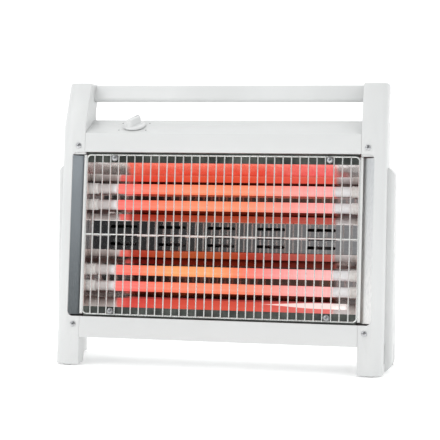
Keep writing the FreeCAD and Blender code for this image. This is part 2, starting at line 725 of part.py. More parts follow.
def rear_screw_places():
    """Across and height of the rear cover's screws: three below, then three above."""
    reach = FRAME_IN - 14
    return [(x, z) for z in (FLOOR_Z + 10, PANEL_TOP_Z - 9) for x in (-reach, Size.of(0), reach)]


def make_rear_cover():
    """Flat back with rows of louvres."""
    body = new_body("rear_cover", stand_upright)
    back = S.casing_depth
    edge = FRAME_IN - S.gap
    pad(body, "XZ_Plane", back, back + S.sheet, rectangle(-edge, FLOOR_Z + 1, edge, PANEL_TOP_Z - 1))
    columns = (-2.5, -1.5, -0.5, 0.5, 1.5, 2.5)
    for first in (FLOOR_Z + 62, PANEL_TOP_Z - 96):
        def row(sketch, level=first):
            for place in columns:
                draw_slot(sketch, place * S.louvre_pitch, level, S.louvre_length, S.louvre_width)
        feature = cut(body, "XZ_Plane", back - 1, back + S.sheet + 1, row)
        repeat = body.newObject("PartDesign::LinearPattern", "louvre_rows")
        repeat.Originals = [feature]
        repeat.Direction = (feature.Profile[0], ["V_Axis"])
        repeat.setExpression("Length", (S.louvre_rows * 5).text)
        repeat.Occurrences = 6
        body.Tip = repeat
        doc.recompute()
    for x, z in rear_screw_places():
        cut(body, "XZ_Plane", back - 1, back + S.sheet + 1, circle(x, z, S.screw_radius + S.fit))
    cut(body, "XZ_Plane", back - 1, back + S.sheet + 1, circle(GLAND_X, GLAND_Z, S.gland_radius))


def make_rail(name, edge, way):
    """Dark rail along one edge of the opening; way is +1 above the reflectors and -1 below."""
    body = new_body(name, lean_back)
    reach = FRAME_IN - 2 * S.end_plate_gap
    lip = edge - way * S.gap
    inner = edge - way * S.rail_height
    face = S.rail_depth
    back = face + S.sheet
    pad(body, "YZ_Plane", -reach, reach, outline([
        (face, inner), (face, lip), (face + S.rail_flange, lip),
        (face + S.rail_flange, lip - way * S.sheet), (back, lip - way * S.sheet), (back, inner)]))
    for x in (-S.clip_pitches * S.wire_pitch, S.clip_pitches * S.wire_pitch):
        cut(body, "XZ_Plane", face - 1, back + 1, circle(x, clip_height(edge, way), S.screw_radius + S.fit))


def clip_height(edge, way):
    return edge - way * (S.rim_margin + S.washer_radius + 0.1)


def make_trim(name, side):
    """Polished strip that slants in from the side frame to the grille's side."""
    body = new_body(name, lean_back)
    fold = FRAME_IN + S.trim_inset
    outer = FRAME_IN + S.notch_width + 1.5
    thick = S.thin_sheet
    corners = [(outer, S.trim_front), (fold, S.trim_back), (fold, S.trim_back + S.trim_tail),
               (fold + thick, S.trim_back + S.trim_tail), (fold + thick, S.trim_back + thick),
               (outer, S.trim_front + thick * 1.3)]
    pad(body, "XY_Plane", OPEN_LOW + 2.5, OPEN_HIGH - 5,
        outline([(side * x, y) for x, y in corners]))


def make_end_plate(name, side):
    """Polished end of both reflectors, turned out towards its trim, with clear holes for the tubes' caps."""
    body = new_body(name, lean_back)
    low, high = sided(side, END_PLATE_IN, END_PLATE_IN + S.sheet)
    pad(body, "YZ_Plane", low, high, rectangle(
        S.rail_depth, OPEN_LOW + 4, S.end_plate_depth, OPEN_HIGH - 4))
    low, high = sided(side, END_PLATE_IN, FRAME_IN + S.trim_inset - S.gap)
    pad(body, "YZ_Plane", low, high, rectangle(
        S.rail_depth, OPEN_LOW + 4, S.rail_depth + S.sheet, OPEN_HIGH - 4))
    low, high = sided(side, END_PLATE_IN - 1, END_PLATE_IN + S.sheet + 1)
    for height in TUBE_HEIGHTS:
        cut(body, "YZ_Plane", low, high, circle(S.tube_depth, height, CAP_RADIUS + S.end_hole_margin))


def make_bracket(name, side):
    """Steel bracket behind an end plate that holds the caps by their necks."""
    body = new_body(name, lean_back)
    start = CAP_END - S.cap_neck_length + 2
    low, high = sided(side, start, start + S.bracket_sheet)
    margin = 2 * CAP_RADIUS
    pad(body, "YZ_Plane", low, high, rectangle(
        S.tube_depth - margin, TUBE_HEIGHTS[3] - margin, S.end_plate_depth, TUBE_HEIGHTS[0] + margin))
    low, high = sided(side, start - 1, start + S.bracket_sheet + 1)
    for height in TUBE_HEIGHTS:
        cut(body, "YZ_Plane", low, high, circle(S.tube_depth, height, S.cap_neck / 2 + S.fit))


def make_reflector(name, outer_lip, inner_lip, outer_knee):
    """Folded polished trough behind one pair of tubes."""
    body = new_body(name, lean_back)
    reach = END_PLATE_IN - S.gap
    lip = S.rail_depth + S.sheet + S.gap
    height = inner_lip - outer_lip
    pad(body, "YZ_Plane", -reach, reach, outline([
        (lip, outer_lip),
        (S.knee_depth, outer_lip + height * outer_knee),
        (S.reflector_depth, outer_lip + height * (outer_knee + S.back_step)),
        (S.reflector_depth, inner_lip - height * (S.inner_knee + S.back_step)),
        (S.knee_depth, inner_lip - height * S.inner_knee),
        (S.vent_depth, inner_lip)]))
    middle_s = ((outer_lip + inner_lip) / 2).value

    def mouth(face, middle):
        return near(middle.z, middle_s, 1.0) and middle.y < S.knee_depth.value

    make_sheet(body, S.thin_sheet, mouth, outward=True)


def make_vent_panel():
    """Polished panel between the reflectors with three rows of cooling slots."""
    body = new_body("vent_panel", lean_back)
    reach = END_PLATE_IN - S.gap
    face = S.vent_depth
    pad(body, "XZ_Plane", face, face + S.thin_sheet, rectangle(
        -reach, VENT_LOW + S.thin_sheet + S.gap, reach, VENT_HIGH - S.thin_sheet - S.gap))

    def slots(sketch):
        for row in (-1, 0, 1):
            for place in (-2, -1, 0, 1, 2):
                draw_slot(sketch, place * S.slot_pitch, OPEN_MID + row * S.slot_rows,
                          S.slot_length, S.slot_width)

    cut(body, "XZ_Plane", face - 1, face + S.thin_sheet + 1, slots)


def make_heat_shield():
    """Plain sheet between the reflectors and the rear cover, slotted to let the air by."""
    body = new_body("heat_shield", lean_back)
    reach = END_PLATE_IN - S.gap
    face = S.shield_depth
    pad(body, "XZ_Plane", face, face + S.sheet, rectangle(
        -reach, OPEN_LOW + S.shield_rise, reach, OPEN_HIGH - 22))

    def slots(sketch):
        for place in (-2, -1, 0, 1, 2):
            draw_slot(sketch, place * S.slot_pitch, OPEN_MID, S.slot_length, S.slot_rows * 2)

    cut(body, "XZ_Plane", face - 1, face + S.sheet + 1, slots)


def make_grille():
    """Welded wire grille: a rim with rounded corners, a middle wire and upright wires."""
    body = new_body("grille", lean_back)
    low = OPEN_LOW + S.rim_margin
    high = OPEN_HIGH - S.rim_margin
    path = new_sketch(body, "XZ_Plane", RIM_DEPTH)
    draw_rounded_path(path, RIM_HALF, low, high, S.rim_round)
    section = new_sketch(body, "YZ_Plane", 0)
    draw_circle(section, RIM_DEPTH, high, S.rim_diameter / 2)
    rim = body.newObject("PartDesign::AdditivePipe", "rim")
    rim.Profile = section
    rim.Spine = path
    doc.recompute()
    pad(body, "YZ_Plane", -RIM_HALF, RIM_HALF, circle(RIM_DEPTH, OPEN_MID, S.middle_wire / 2))
    half_count = floor(RIM_HALF / S.wire_pitch)
    first = (0.5 - half_count) * S.wire_pitch
    wire = pad(body, "XY_Plane", low - S.wire_end, high + S.wire_end,
               circle(first, WIRE_DEPTH, S.wire_diameter / 2))
    repeat = body.newObject("PartDesign::LinearPattern", "wires")
    repeat.Originals = [wire]
    repeat.Direction = (wire.Profile[0], ["H_Axis"])
    repeat.setExpression("Length", ((2 * half_count - 1) * S.wire_pitch).text)
    repeat.setExpression("Occurrences", (2 * half_count).text)
    body.Tip = repeat
    doc.recompute()


def draw_rounded_path(sketch, half, low, high, radius):
    """A closed rounded rectangle that starts at the middle of its upper side."""
    half, low, high, radius = (Size.of(item) for item in (half, low, high, radius))
    zero = Size.of(0)
    stops = [(zero, high), (half - radius, high), (half, high - radius), (half, low + radius),
             (half - radius, low), (radius - half, low), (-half, low + radius),
             (-half, high - radius), (radius - half, high)]
    centres = {1: (half - radius, high - radius), 3: (half - radius, low + radius),
               5: (radius - half, low + radius), 7: (radius - half, high - radius)}
    for index, (x, y) in enumerate(stops):
        x2, y2 = stops[(index + 1) % len(stops)]
        start = Vector(x.value, y.value, 0)
        end = Vector(x2.value, y2.value, 0)
        if index in centres:
            cx, cy = (item.value for item in centres[index])
            chord = (start + end) * 0.5 - Vector(cx, cy, 0)
            middle = Vector(cx, cy, 0) + chord.normalize() * radius.value
            sketch.addGeometry(Part.Arc(start, middle, end), False)
        else:
            sketch.addGeometry(Part.LineSegment(start, end), False)
    for index in range(len(stops)):
        following = (index + 1) % len(stops)
        leave = 1 if index in centres else 2
        enter = 2 if following in centres else 1
        sketch.addConstraint(Sketcher.Constraint("Coincident", index, leave, following, enter))
    for index, (x, y) in enumerate(stops):
        if index in centres:
            cx, cy = centres[index]
            pin(sketch, "DistanceX", index, 3, cx)
            pin(sketch, "DistanceY", index, 3, cy)
        if index not in centres:
            pin(sketch, "DistanceX", index, 1, x)
            pin(sketch, "DistanceY", index, 1, y)
            x2, y2 = stops[(index + 1) % len(stops)]
            if index < len(stops) - 1:
                pin(sketch, "DistanceX" if near(y.value, y2.value) else "DistanceY", index, 2,
                    x2 if near(y.value, y2.value) else y2)


def make_tube(number, height):
    """Quartz tube with its wound wire and the two ceramic caps."""
    tube = new_body("quartz_tube_%d" % number, lean_back)
    outer = S.tube_diameter / 2

    def ring(sketch):
        draw_circle(sketch, S.tube_depth, height, outer)
        draw_circle(sketch, S.tube_depth, height, outer - S.tube_wall)

    pad(tube, "YZ_Plane", -TUBE_HALF, TUBE_HALF, ring)
    coil = new_body("heating_coil_%d" % number, lean_back)
    reach = TUBE_HALF - S.coil_inset
    pad(coil, "YZ_Plane", -reach, reach, circle(S.tube_depth, height, S.coil_diameter / 2))
    for side, word in ((-1, "left"), (1, "right")):
        cap = new_body("ceramic_cap_%s_%d" % (word, number), lean_back)
        shoulder = CAP_END - S.cap_neck_length
        low, high = sided(side, CAP_START, shoulder)
        pad(cap, "YZ_Plane", low, high, circle(S.tube_depth, height, CAP_RADIUS))
        low, high = sided(side, shoulder - 1, CAP_END)
        pad(cap, "YZ_Plane", low, high, circle(S.tube_depth, height, S.cap_neck / 2))
        low, high = sided(side, CAP_START - 1, TUBE_HALF)
        cut(cap, "YZ_Plane", low, high, circle(S.tube_depth, height, outer + S.fit))


def make_harness(name, side):
    """Sleeved leads of one end: an upright bundle with a branch to each cap."""
    body = new_body(name, lean_back)
    x = CAP_END + S.lead_stand
    pad(body, "XY_Plane", TUBE_HEIGHTS[3] - 4, OPEN_HIGH - 10,
        circle(side * x, S.tube_depth, S.lead_diameter / 2))
    low, high = sided(side, CAP_END, x)
    for height in TUBE_HEIGHTS:
        pad(body, "YZ_Plane", low, high, circle(S.tube_depth, height, S.lead_diameter / 2))


def make_knob():
    """Selector knob: a skirt with a finger grip, hollow underneath for the nut."""
    body = new_body("selector_knob", lie_on_panel)
    radius = S.knob_diameter / 2
    zero = Size.of(0)
    rise = 0.8
    pad(body, "XY_Plane", rise, S.knob_base, circle(zero, zero, radius))
    length = S.knob_diameter - 6
    pad(body, "XY_Plane", S.knob_base - 0.5, S.knob_height,
        lambda sketch: draw_slot_upright(sketch, length, S.grip_width))
    top = S.knob_height.value
    skirt = S.knob_base.value
    round_edges(body, 1.6, lambda edge: near(edge.BoundBox.ZMin, top))
    round_edges(body, 1.2, lambda edge: near(edge.BoundBox.ZMin, skirt) and near(edge.BoundBox.ZMax, skirt)
                and near(edge.BoundBox.XLength, 2 * radius.value))
    cut(body, "XY_Plane", 0, S.bush_length + S.gap + 0.5, circle(zero, zero, S.nut_width / 2 + 2.2))
    cut(body, "XY_Plane", 0, S.knob_height - 2, circle(zero, zero, S.shaft_diameter / 2 + 0.02))


def draw_slot_upright(sketch, length, width):
    """A round-ended slot centred on the origin, lying along the sketch's second axis."""
    reach = (length - width) / 2
    radius = width / 2
    zero = Size.of(0)
    arcs = []
    for end, start in ((reach, 0.0), (-reach, math.pi)):
        round_end = Part.Circle(Vector(0, end.value, 0), Vector(0, 0, 1), radius.value)
        arcs.append(sketch.addGeometry(Part.ArcOfCircle(round_end, start, start + math.pi), False))
    lines = []
    for x, start, end in ((-radius, reach, -reach), (radius, -reach, reach)):
        line = Part.LineSegment(Vector(x.value, start.value, 0), Vector(x.value, end.value, 0))
        lines.append(sketch.addGeometry(line, False))
        pin(sketch, "DistanceX", lines[-1], 1, x)
        pin(sketch, "DistanceY", lines[-1], 1, start)
    ring = [arcs[0], lines[0], arcs[1], lines[1]]
    for first, second in zip(ring, ring[1:] + ring[:1]):
        sketch.addConstraint(Sketcher.Constraint("Coincident", first, 2, second, 1))
    for arc, end in zip(arcs, (reach, -reach)):
        pin(sketch, "DistanceX", arc, 3, zero)
        pin(sketch, "DistanceY", arc, 3, end)


def make_switch():
    """Selector switch under the panel: body with its bush, turning shaft and nut."""
    zero = Size.of(0)
    body = new_body("selector_switch_body", lie_on_panel)
    half = S.switch_width / 2
    under = -S.sheet
    pad(body, "XY_Plane", under - S.switch_height, under, rectangle(-half, -half, half, half))
    pad(body, "XY_Plane", under - 1, S.bush_length, circle(zero, zero, S.bush_diameter / 2))
    bore = S.shaft_diameter / 2 + S.running_fit
    cut(body, "XY_Plane", under - S.switch_height + 4, S.bush_length + 1, circle(zero, zero, bore))
    shaft = new_body("selector_switch_shaft", lie_on_panel)
    pad(shaft, "XY_Plane", under - S.switch_height + 4 + S.gap, S.shaft_length - 4,
        circle(zero, zero, S.shaft_diameter / 2))
    nut = new_body("selector_switch_nut", lie_on_panel)
    corner = S.nut_width / 2 / Size.of(math.cos(math.pi / 6))
    corners = [(corner * math.cos(math.radians(60 * step)), corner * math.sin(math.radians(60 * step)))
               for step in range(6)]
    pad(nut, "XY_Plane", 0, S.nut_height, outline(corners))
    cut(nut, "XY_Plane", -1, S.nut_height + 1, circle(zero, zero, S.bush_diameter / 2 + S.fit))


def make_tilt_switch():
    """Tip-over switch on the casing's floor: a weight swings on a pin inside a case."""
    low_z = FLOOR_Z + S.sheet + S.fit
    high_z = low_z + S.tilt_height
    middle_y = (S.cover_front + S.casing_depth) / 2
    half_x = S.tilt_width / 2
    half_y = S.tilt_depth / 2
    pivot_z = high_z - 8
    case = new_body("tilt_switch_case", stand_upright)
    pad(case, "XY_Plane", low_z, high_z,
        rectangle(TILT_X - half_x, middle_y - half_y, TILT_X + half_x, middle_y + half_y))
    inner_x = half_x - S.tilt_wall
    inner_y = half_y - S.tilt_wall
    cut(case, "XY_Plane", low_z + S.tilt_wall, high_z + 1,
        rectangle(TILT_X - inner_x, middle_y - inner_y, TILT_X + inner_x, middle_y + inner_y))
    cut(case, "YZ_Plane", TILT_X - half_x - 1, TILT_X + half_x + 1,
        circle(middle_y, pivot_z, S.tilt_pin / 2 + 0.02))
    pin_body = new_body("tilt_pivot_pin", stand_upright)
    pad(pin_body, "YZ_Plane", TILT_X - half_x, TILT_X + half_x, circle(middle_y, pivot_z, S.tilt_pin / 2))
    pendulum = new_body("tilt_pendulum", stand_upright)
    reach = inner_x - 4
    weight_z = pivot_z - S.tilt_arm
    pad(pendulum, "YZ_Plane", TILT_X - reach, TILT_X + reach, circle(middle_y, weight_z, S.tilt_weight / 2))
    pad(pendulum, "YZ_Plane", TILT_X - 2, TILT_X + 2, rectangle(
        middle_y - 1.5, weight_z, middle_y + 1.5, pivot_z))
    pad(pendulum, "YZ_Plane", TILT_X - 2, TILT_X + 2, circle(middle_y, pivot_z, S.tilt_pin / 2 + 1.8))
    cut(pendulum, "YZ_Plane", TILT_X - 3, TILT_X + 3,
        circle(middle_y, pivot_z, S.tilt_pin / 2 + S.running_fit))
    contacts = new_body("tilt_switch_contacts", stand_upright)
    pad(contacts, "XY_Plane", high_z, high_z + 9,
        rectangle(TILT_X - half_x, middle_y - half_y, TILT_X + half_x, middle_y + half_y))


def make_fittings():
    """Thermal cut-out, terminal block and the cable entry."""
    cutout = new_body("thermal_cutout", lean_back)
    back = S.shield_depth + S.sheet
    height = OPEN_HIGH - 60
    pad(cutout, "XZ_Plane", back, back + 7, circle(S.slot_pitch, height, Size.of(8)))
    pad(cutout, "XZ_Plane", back + 6, back + 11, rectangle(
        S.slot_pitch - 5, height - 3, S.slot_pitch + 5, height + 3))
    block = new_body("terminal_block", stand_upright)
    low_z = FLOOR_Z + S.sheet + S.fit
    block_x = TILT_X - S.tilt_width - 30
    pad(block, "XY_Plane", low_z, low_z + 15, rectangle(
        block_x - 22, S.casing_depth - 34, block_x + 22, S.casing_depth - 16))
    for step in (-14, 0, 14):
        cut(block, "XY_Plane", low_z + 9, low_z + 16,
            circle(block_x + step, S.casing_depth - 25, Size.of(2.4)))
    gland = new_body("cord_gland", stand_upright)
    cover = S.casing_depth + S.sheet
    pad(gland, "XZ_Plane", S.casing_depth - 10, cover + 0.5,
        circle(GLAND_X, GLAND_Z, S.gland_radius - S.fit))
    pad(gland, "XZ_Plane", cover, cover + 3, circle(GLAND_X, GLAND_Z, S.gland_radius + 3))
    pad(gland, "XZ_Plane", S.casing_depth - 5, S.casing_depth - S.gap,
        circle(GLAND_X, GLAND_Z, S.gland_radius + 2))
    cut(gland, "XZ_Plane", S.casing_depth - 12, cover + 5, circle(GLAND_X, GLAND_Z, S.gland_bore))


def bound(thing, values):
    for name, size in values.items():
        thing.setExpression(name, Size.of(size).text)
    return thing


TURNS = {"+Z": (Vector(0, 0, 1), 0), "+Y": (Vector(1, 0, 0), -90), "-Y": (Vector(1, 0, 0), 90),
         "+X": (Vector(0, 1, 0), 90), "-X": (Vector(0, 1, 0), -90)}
INWARD = {1: "-X", -1: "+X"}


def make_screw(at, points, length, washer=False):
    """Pan-head screw whose head rests at the given place and whose shank points one way."""
    head = doc.addObject("Part::Cone", "screw_head")
    bound(head, {"Radius1": S.head_radius * 0.72, "Radius2": S.head_radius, "Height": S.head_height,
                 "Placement.Base.z": -S.head_height})
    shank = doc.addObject("Part::Cylinder", "screw_shank")
    bound(shank, {"Radius": S.screw_radius, "Height": length})
    pieces = [head, shank]
    if washer:
        disc = doc.addObject("Part::Cylinder", "screw_washer")
        bound(disc, {"Radius": S.washer_radius, "Height": S.washer_height})
        pieces.append(disc)
    screw = doc.addObject("Part::MultiFuse", "screw")
    screw.Shapes = pieces
    axis, angle = TURNS[points]
    screw.Placement = FreeCAD.Placement(Vector(0, 0, 0), axis, angle)
    for name, size in zip("xyz", at):
        screw.setExpression("Placement.Base." + name, Size.of(size).text)
    return screw


def make_group(name, items, place):
    group = doc.addObject("Part::Compound", name)
    group.Links = items
    place(group)
    return keep(group, name)


def make_fasteners():
    sides = (-1, 1)
    x = FRAME_IN + S.bezel_screw_inset
    heights = (OPEN_LOW - S.bezel_screw_low, OPEN_HIGH + S.bezel_screw_high)
    make_group("front_screws", [make_screw((side * x, Size.of(0), height), "+Y", S.screw_length)
                                for side in sides for height in heights], lean_back)
    x = S.clip_pitches * S.wire_pitch
    heights = (clip_height(OPEN_LOW, -1), clip_height(OPEN_HIGH, 1))
    depth = RIM_DEPTH - S.rim_diameter / 2 - S.washer_height
    make_group("grille_screws", [make_screw((side * x, depth, height), "+Y", S.short_screw, True)
                                 for side in sides for height in heights], lean_back)
    back = S.casing_depth + S.sheet
    make_group("rear_cover_screws", [make_screw((x, back, z), "-Y", S.short_screw)
                                     for x, z in rear_screw_places()], stand_upright)
    seat = COVER_OUT - S.screw_sink
    length = S.cover_step - S.screw_sink + S.frame_wall + 1
    make_group("side_cover_screws", [make_screw((side * seat, y, z), INWARD[side], length)
                                     for side in sides for y, z in side_screw_places()],
               stand_upright)
    middle_y, middle_z = bar_middle()
    seat = FRAME_OUT - S.screw_sink
    length = S.frame_width - S.screw_sink + S.screw_length - 2
    make_group("handle_screws", [make_screw((side * seat, middle_y, middle_z), INWARD[side], length)
                                 for side in sides], stand_upright)


def make_feet():
    """Four rubber pads, flush with the floor."""
    places = []
    for side in (-1, 1):
        places.append((side * (FRAME_IN + FRAME_OUT) / 2, S.pad_radius + 2.5))
        back_y = S.overall_depth - S.back_foot_depth / 2 - 2
        places.append((side * (COVER_OUT - S.back_foot_width / 2), back_y))
    pads = []
    for x, y in places:
        disc = doc.addObject("Part::Cylinder", "foot_pad")
        bound(disc, {"Radius": S.pad_radius, "Height": S.pad_height,
                     "Placement.Base.x": x, "Placement.Base.y": y})
        pads.append(disc)
    make_group("rubber_feet", pads, stand_upright)


for side_word, way in (("left", -1), ("right", 1)):
    make_side_frame("side_frame_" + side_word, way)
    make_side_cover("side_cover_" + side_word, way)
    make_trim("trim_" + side_word, way)
    make_end_plate("end_plate_" + side_word, way)
    make_bracket("lamp_bracket_" + side_word, way)
    make_harness("lead_harness_" + side_word, way)
make_handle_bar()
make_top_cover()
make_base_pan()
make_rear_cover()
make_rail("rail_upper", OPEN_HIGH, 1)
make_rail("rail_lower", OPEN_LOW, -1)
make_reflector("reflector_upper", TROUGH_HIGH, VENT_HIGH, S.upper_knee)
make_reflector("reflector_lower", TROUGH_LOW, VENT_LOW, S.lower_knee)
make_vent_panel()
make_heat_shield()
make_grille()
for tube_number, tube_height in enumerate(TUBE_HEIGHTS, start=1):
    make_tube(tube_number, tube_height)
make_knob()
make_switch()
make_tilt_switch()
make_fittings()
make_fasteners()
make_feet()
doc.recompute()

for thing in doc.Objects:
    if "Invalid" in thing.State or "Error" in thing.State:
        raise ValueError("%s failed: %s" % (thing.Name, thing.State))
for node in nodes:
    if node.Shape.isNull() or not node.Shape.isValid() or not node.Shape.Solids:
        raise ValueError("%s has no valid solid" % node.Label)
os.makedirs("parts", exist_ok=True)
for node in nodes:
    node.Shape.exportStep("parts/%s.step" % node.Label)
print("%d nodes written" % len(nodes))
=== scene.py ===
"""Looks of the free-standing quartz heater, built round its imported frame."""
import json
import math
import random

import bmesh
import bpy
from mathutils import Matrix, Vector

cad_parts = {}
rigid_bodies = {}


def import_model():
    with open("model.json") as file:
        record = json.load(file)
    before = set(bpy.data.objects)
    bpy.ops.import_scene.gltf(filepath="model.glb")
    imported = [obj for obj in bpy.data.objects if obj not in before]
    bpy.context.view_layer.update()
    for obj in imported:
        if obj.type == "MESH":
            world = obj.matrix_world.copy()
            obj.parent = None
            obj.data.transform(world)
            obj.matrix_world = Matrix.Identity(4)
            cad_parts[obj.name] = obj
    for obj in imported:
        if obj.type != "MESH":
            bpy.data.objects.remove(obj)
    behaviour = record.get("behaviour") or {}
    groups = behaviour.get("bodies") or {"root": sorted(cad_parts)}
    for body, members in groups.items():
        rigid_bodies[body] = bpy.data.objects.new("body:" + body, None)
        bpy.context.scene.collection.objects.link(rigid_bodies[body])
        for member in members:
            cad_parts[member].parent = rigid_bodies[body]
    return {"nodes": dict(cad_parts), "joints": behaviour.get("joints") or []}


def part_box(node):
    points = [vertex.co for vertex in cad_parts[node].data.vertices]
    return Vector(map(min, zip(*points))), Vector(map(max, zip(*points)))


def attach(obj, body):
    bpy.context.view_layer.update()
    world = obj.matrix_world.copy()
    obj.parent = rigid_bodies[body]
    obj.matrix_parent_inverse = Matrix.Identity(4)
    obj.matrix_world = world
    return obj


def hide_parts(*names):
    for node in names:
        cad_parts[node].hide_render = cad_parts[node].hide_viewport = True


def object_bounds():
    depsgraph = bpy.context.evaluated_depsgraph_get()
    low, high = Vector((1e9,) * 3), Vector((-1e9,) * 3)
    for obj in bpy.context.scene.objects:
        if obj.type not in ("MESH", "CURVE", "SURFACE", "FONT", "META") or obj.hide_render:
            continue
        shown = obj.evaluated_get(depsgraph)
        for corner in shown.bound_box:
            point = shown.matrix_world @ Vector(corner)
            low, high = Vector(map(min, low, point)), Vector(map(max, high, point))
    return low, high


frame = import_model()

bl_info = {
    "name": "Quartz room heater",
    "version": (1, 0, 0),
    "blender": (4, 5, 0),
    "location": "3D View > Sidebar > Heater",
    "description": "Builds the finishes, wires, screws and lamps of a quartz room heater",
    "category": "Object",
}

CAD_BOX = [list(corner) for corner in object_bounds()]
MM = 0.001
MERGE = 0.004 * MM


def length(name, text, default, low=0.0, high=1.0):
    """A length that a user may change, in metres."""
    return bpy.props.FloatProperty(name=name, description=text, default=default, min=low, max=high,
                                   precision=5, subtype="DISTANCE", unit="LENGTH")


def colour(name, text, default):
    """A colour that a user may change, in linear light."""
    return bpy.props.FloatVectorProperty(name=name, description=text, default=default, size=3,
                                         min=0.0, max=1.0, subtype="COLOR")


class HeaterLooks(bpy.types.PropertyGroup):
    """Sizes and colours of the visible details."""
    casing_colour: colour("Casing", "Colour of the mouldings and painted sheets", (0.655, 0.662, 0.660))
    knob_colour: colour("Knob", "Colour of the selector knob", (0.665, 0.672, 0.670))
    mark_colour: colour("Marks", "Colour of the dial's marks and the knob's line", (0.10, 0.10, 0.11))
    foot_colour: colour("Feet", "Colour of the rubber feet", (0.60, 0.60, 0.59))
    glow: bpy.props.FloatProperty(name="Glow", description="Strength of the lit tubes", default=1.0,
                                  min=0.0, max=10.0)
    lit_half: length("Lit half-length", "Middle of a tube to the end of its glow", 0.167)
    wire_pitch: length("Wire pitch", "Upright wires of the grille, middle to middle", 0.01244, 0.004)
    wire_count: bpy.props.IntProperty(name="Wires", description="Upright wires of the grille", default=32,
                                      min=2, max=80)
    wire_diameter: length("Wire diameter", "Upright wires of the grille", 0.002)
    rim_diameter: length("Rim diameter", "Wire round the grille", 0.0025)
    middle_diameter: length("Middle wire diameter", "Wire across the middle of the grille", 0.002)
    head_diameter: length("Head diameter", "Screw heads", 0.008, 0.004, 0.0085)
    head_height: length("Head height", "Screw heads above their seats", 0.0026, 0.001, 0.0026)
    washer_diameter: length("Washer diameter", "Washers below the grille's screws", 0.0096)
    tube_diameter: length("Tube diameter", "Quartz tubes, outside", 0.015, 0.012, 0.015)
    winding_turns: bpy.props.FloatProperty(name="Turns", description="Turns of each heating coil",
                                           default=150.0, min=10.0, max=220.0)
    winding_wire: length("Winding wire", "Thickness of the heating wire", 0.0008)
    louvre_rise: length("Louvre rise", "How far a louvre stands out of the rear cover", 0.0026, 0.0005, 0.004)
    knob_turn: bpy.props.FloatProperty(name="Knob turn", description="Where the grip points at rest",
                                       default=math.radians(-28.0), subtype="ANGLE", unit="ROTATION")


def looks():
    """The sizes and colours that the panel shows."""
    return bpy.context.scene.heater_looks


BODY = "heater"
LEAN = math.radians(5.0)
PANEL_SLOPE = math.radians(24.6)
SOLIDS = frame["nodes"]


def front_edge():
    """Y of the line about which the front face leans, at floor level."""
    return CAD_BOX[0][1] - 2.2 * MM * math.tan(LEAN)


def leaning(x, depth, height):
    """A point given by its depth behind the front face and its height along that face, in mm."""
    y = depth * MM * math.cos(LEAN) + height * MM * math.sin(LEAN) + front_edge()
    z = height * MM * math.cos(LEAN) - depth * MM * math.sin(LEAN)
    return Vector((x * MM, y, z))


def middle_of(node):
    """Middle of a node's box."""
    low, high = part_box(node)
    return (low + high) / 2


def in_metres(pairs):
    """Pairs of numbers given in mm."""
    return [(one * MM, two * MM) for one, two in pairs]


def toned(colour, share):
    """A colour made darker or lighter."""
    return tuple(min(1.0, channel * share) for channel in colour)


# ---------------------------------------------------------------- node trees

def maths(operation, turned=False):
    """A method that joins two values by a Math node, the other way round if turned."""
    def method(self, other=0.0):
        pair = [other, self] if turned else [self, other]
        return self.owner.node("ShaderNodeMath", {"operation": operation}, pair)
    return method


class Link:
    """An output of a node tree that can be added, multiplied and so on."""
    __add__ = __radd__ = maths("ADD")
    __mul__ = __rmul__ = maths("MULTIPLY")
    __sub__ = maths("SUBTRACT")
    __rsub__ = maths("SUBTRACT", True)
    __truediv__ = maths("DIVIDE")
    __rtruediv__ = maths("DIVIDE", True)
    above = maths("GREATER_THAN")
    size = maths("ABSOLUTE")
    wave = maths("SINE")

    def __init__(self, owner, socket):
        self.owner = owner
        self.socket = socket

    def clipped(self):
        return self.owner.node("ShaderNodeClamp", {}, [self, 0.0, 1.0])

    def eased(self, low, high):
        """0 below low, 1 above high, smooth between."""
        settings = {"interpolation_type": "SMOOTHSTEP"}
        return self.owner.node("ShaderNodeMapRange", settings, [self, low, high, 0.0, 1.0])


class Tree:
    """A node tree under construction."""

    def __init__(self, tree):
        self.tree = tree

    def node(self, kind, settings=None, values=None, output=0):
        """Adds a node: its settings first, then its sockets by position or by name."""
        made = self.tree.nodes.new(kind)
        for name, value in (settings or {}).items():
            if name == "stops":
                self.set_stops(made.color_ramp, value)
            else:
                setattr(made, name, value)
        values = values or {}
        for key, value in values.items() if isinstance(values, dict) else enumerate(values):
            if isinstance(value, Link):
                self.tree.links.new(value.socket, made.inputs[key])
            elif value is not None:
                made.inputs[key].default_value = value
        return Link(self, made.outputs[output])

    @staticmethod
    def set_stops(ramp, stops):
        while len(ramp.elements) < len(stops):
            ramp.elements.new(0.5)
        for element, (position, colour) in zip(ramp.elements, stops):
            element.position = position
            element.color = (*colour, 1.0)

    def mix(self, share, first, second):
        """Colour between first and second."""
        first = first if isinstance(first, Link) else (*first, 1.0)
        second = second if isinstance(second, Link) else (*second, 1.0)
        return self.node("ShaderNodeMix", {"data_type": "RGBA"}, {0: share, 6: first, 7: second}, 2)

    def ramp(self, value, stops):
        return self.node("ShaderNodeValToRGB", {"stops": stops}, [value])


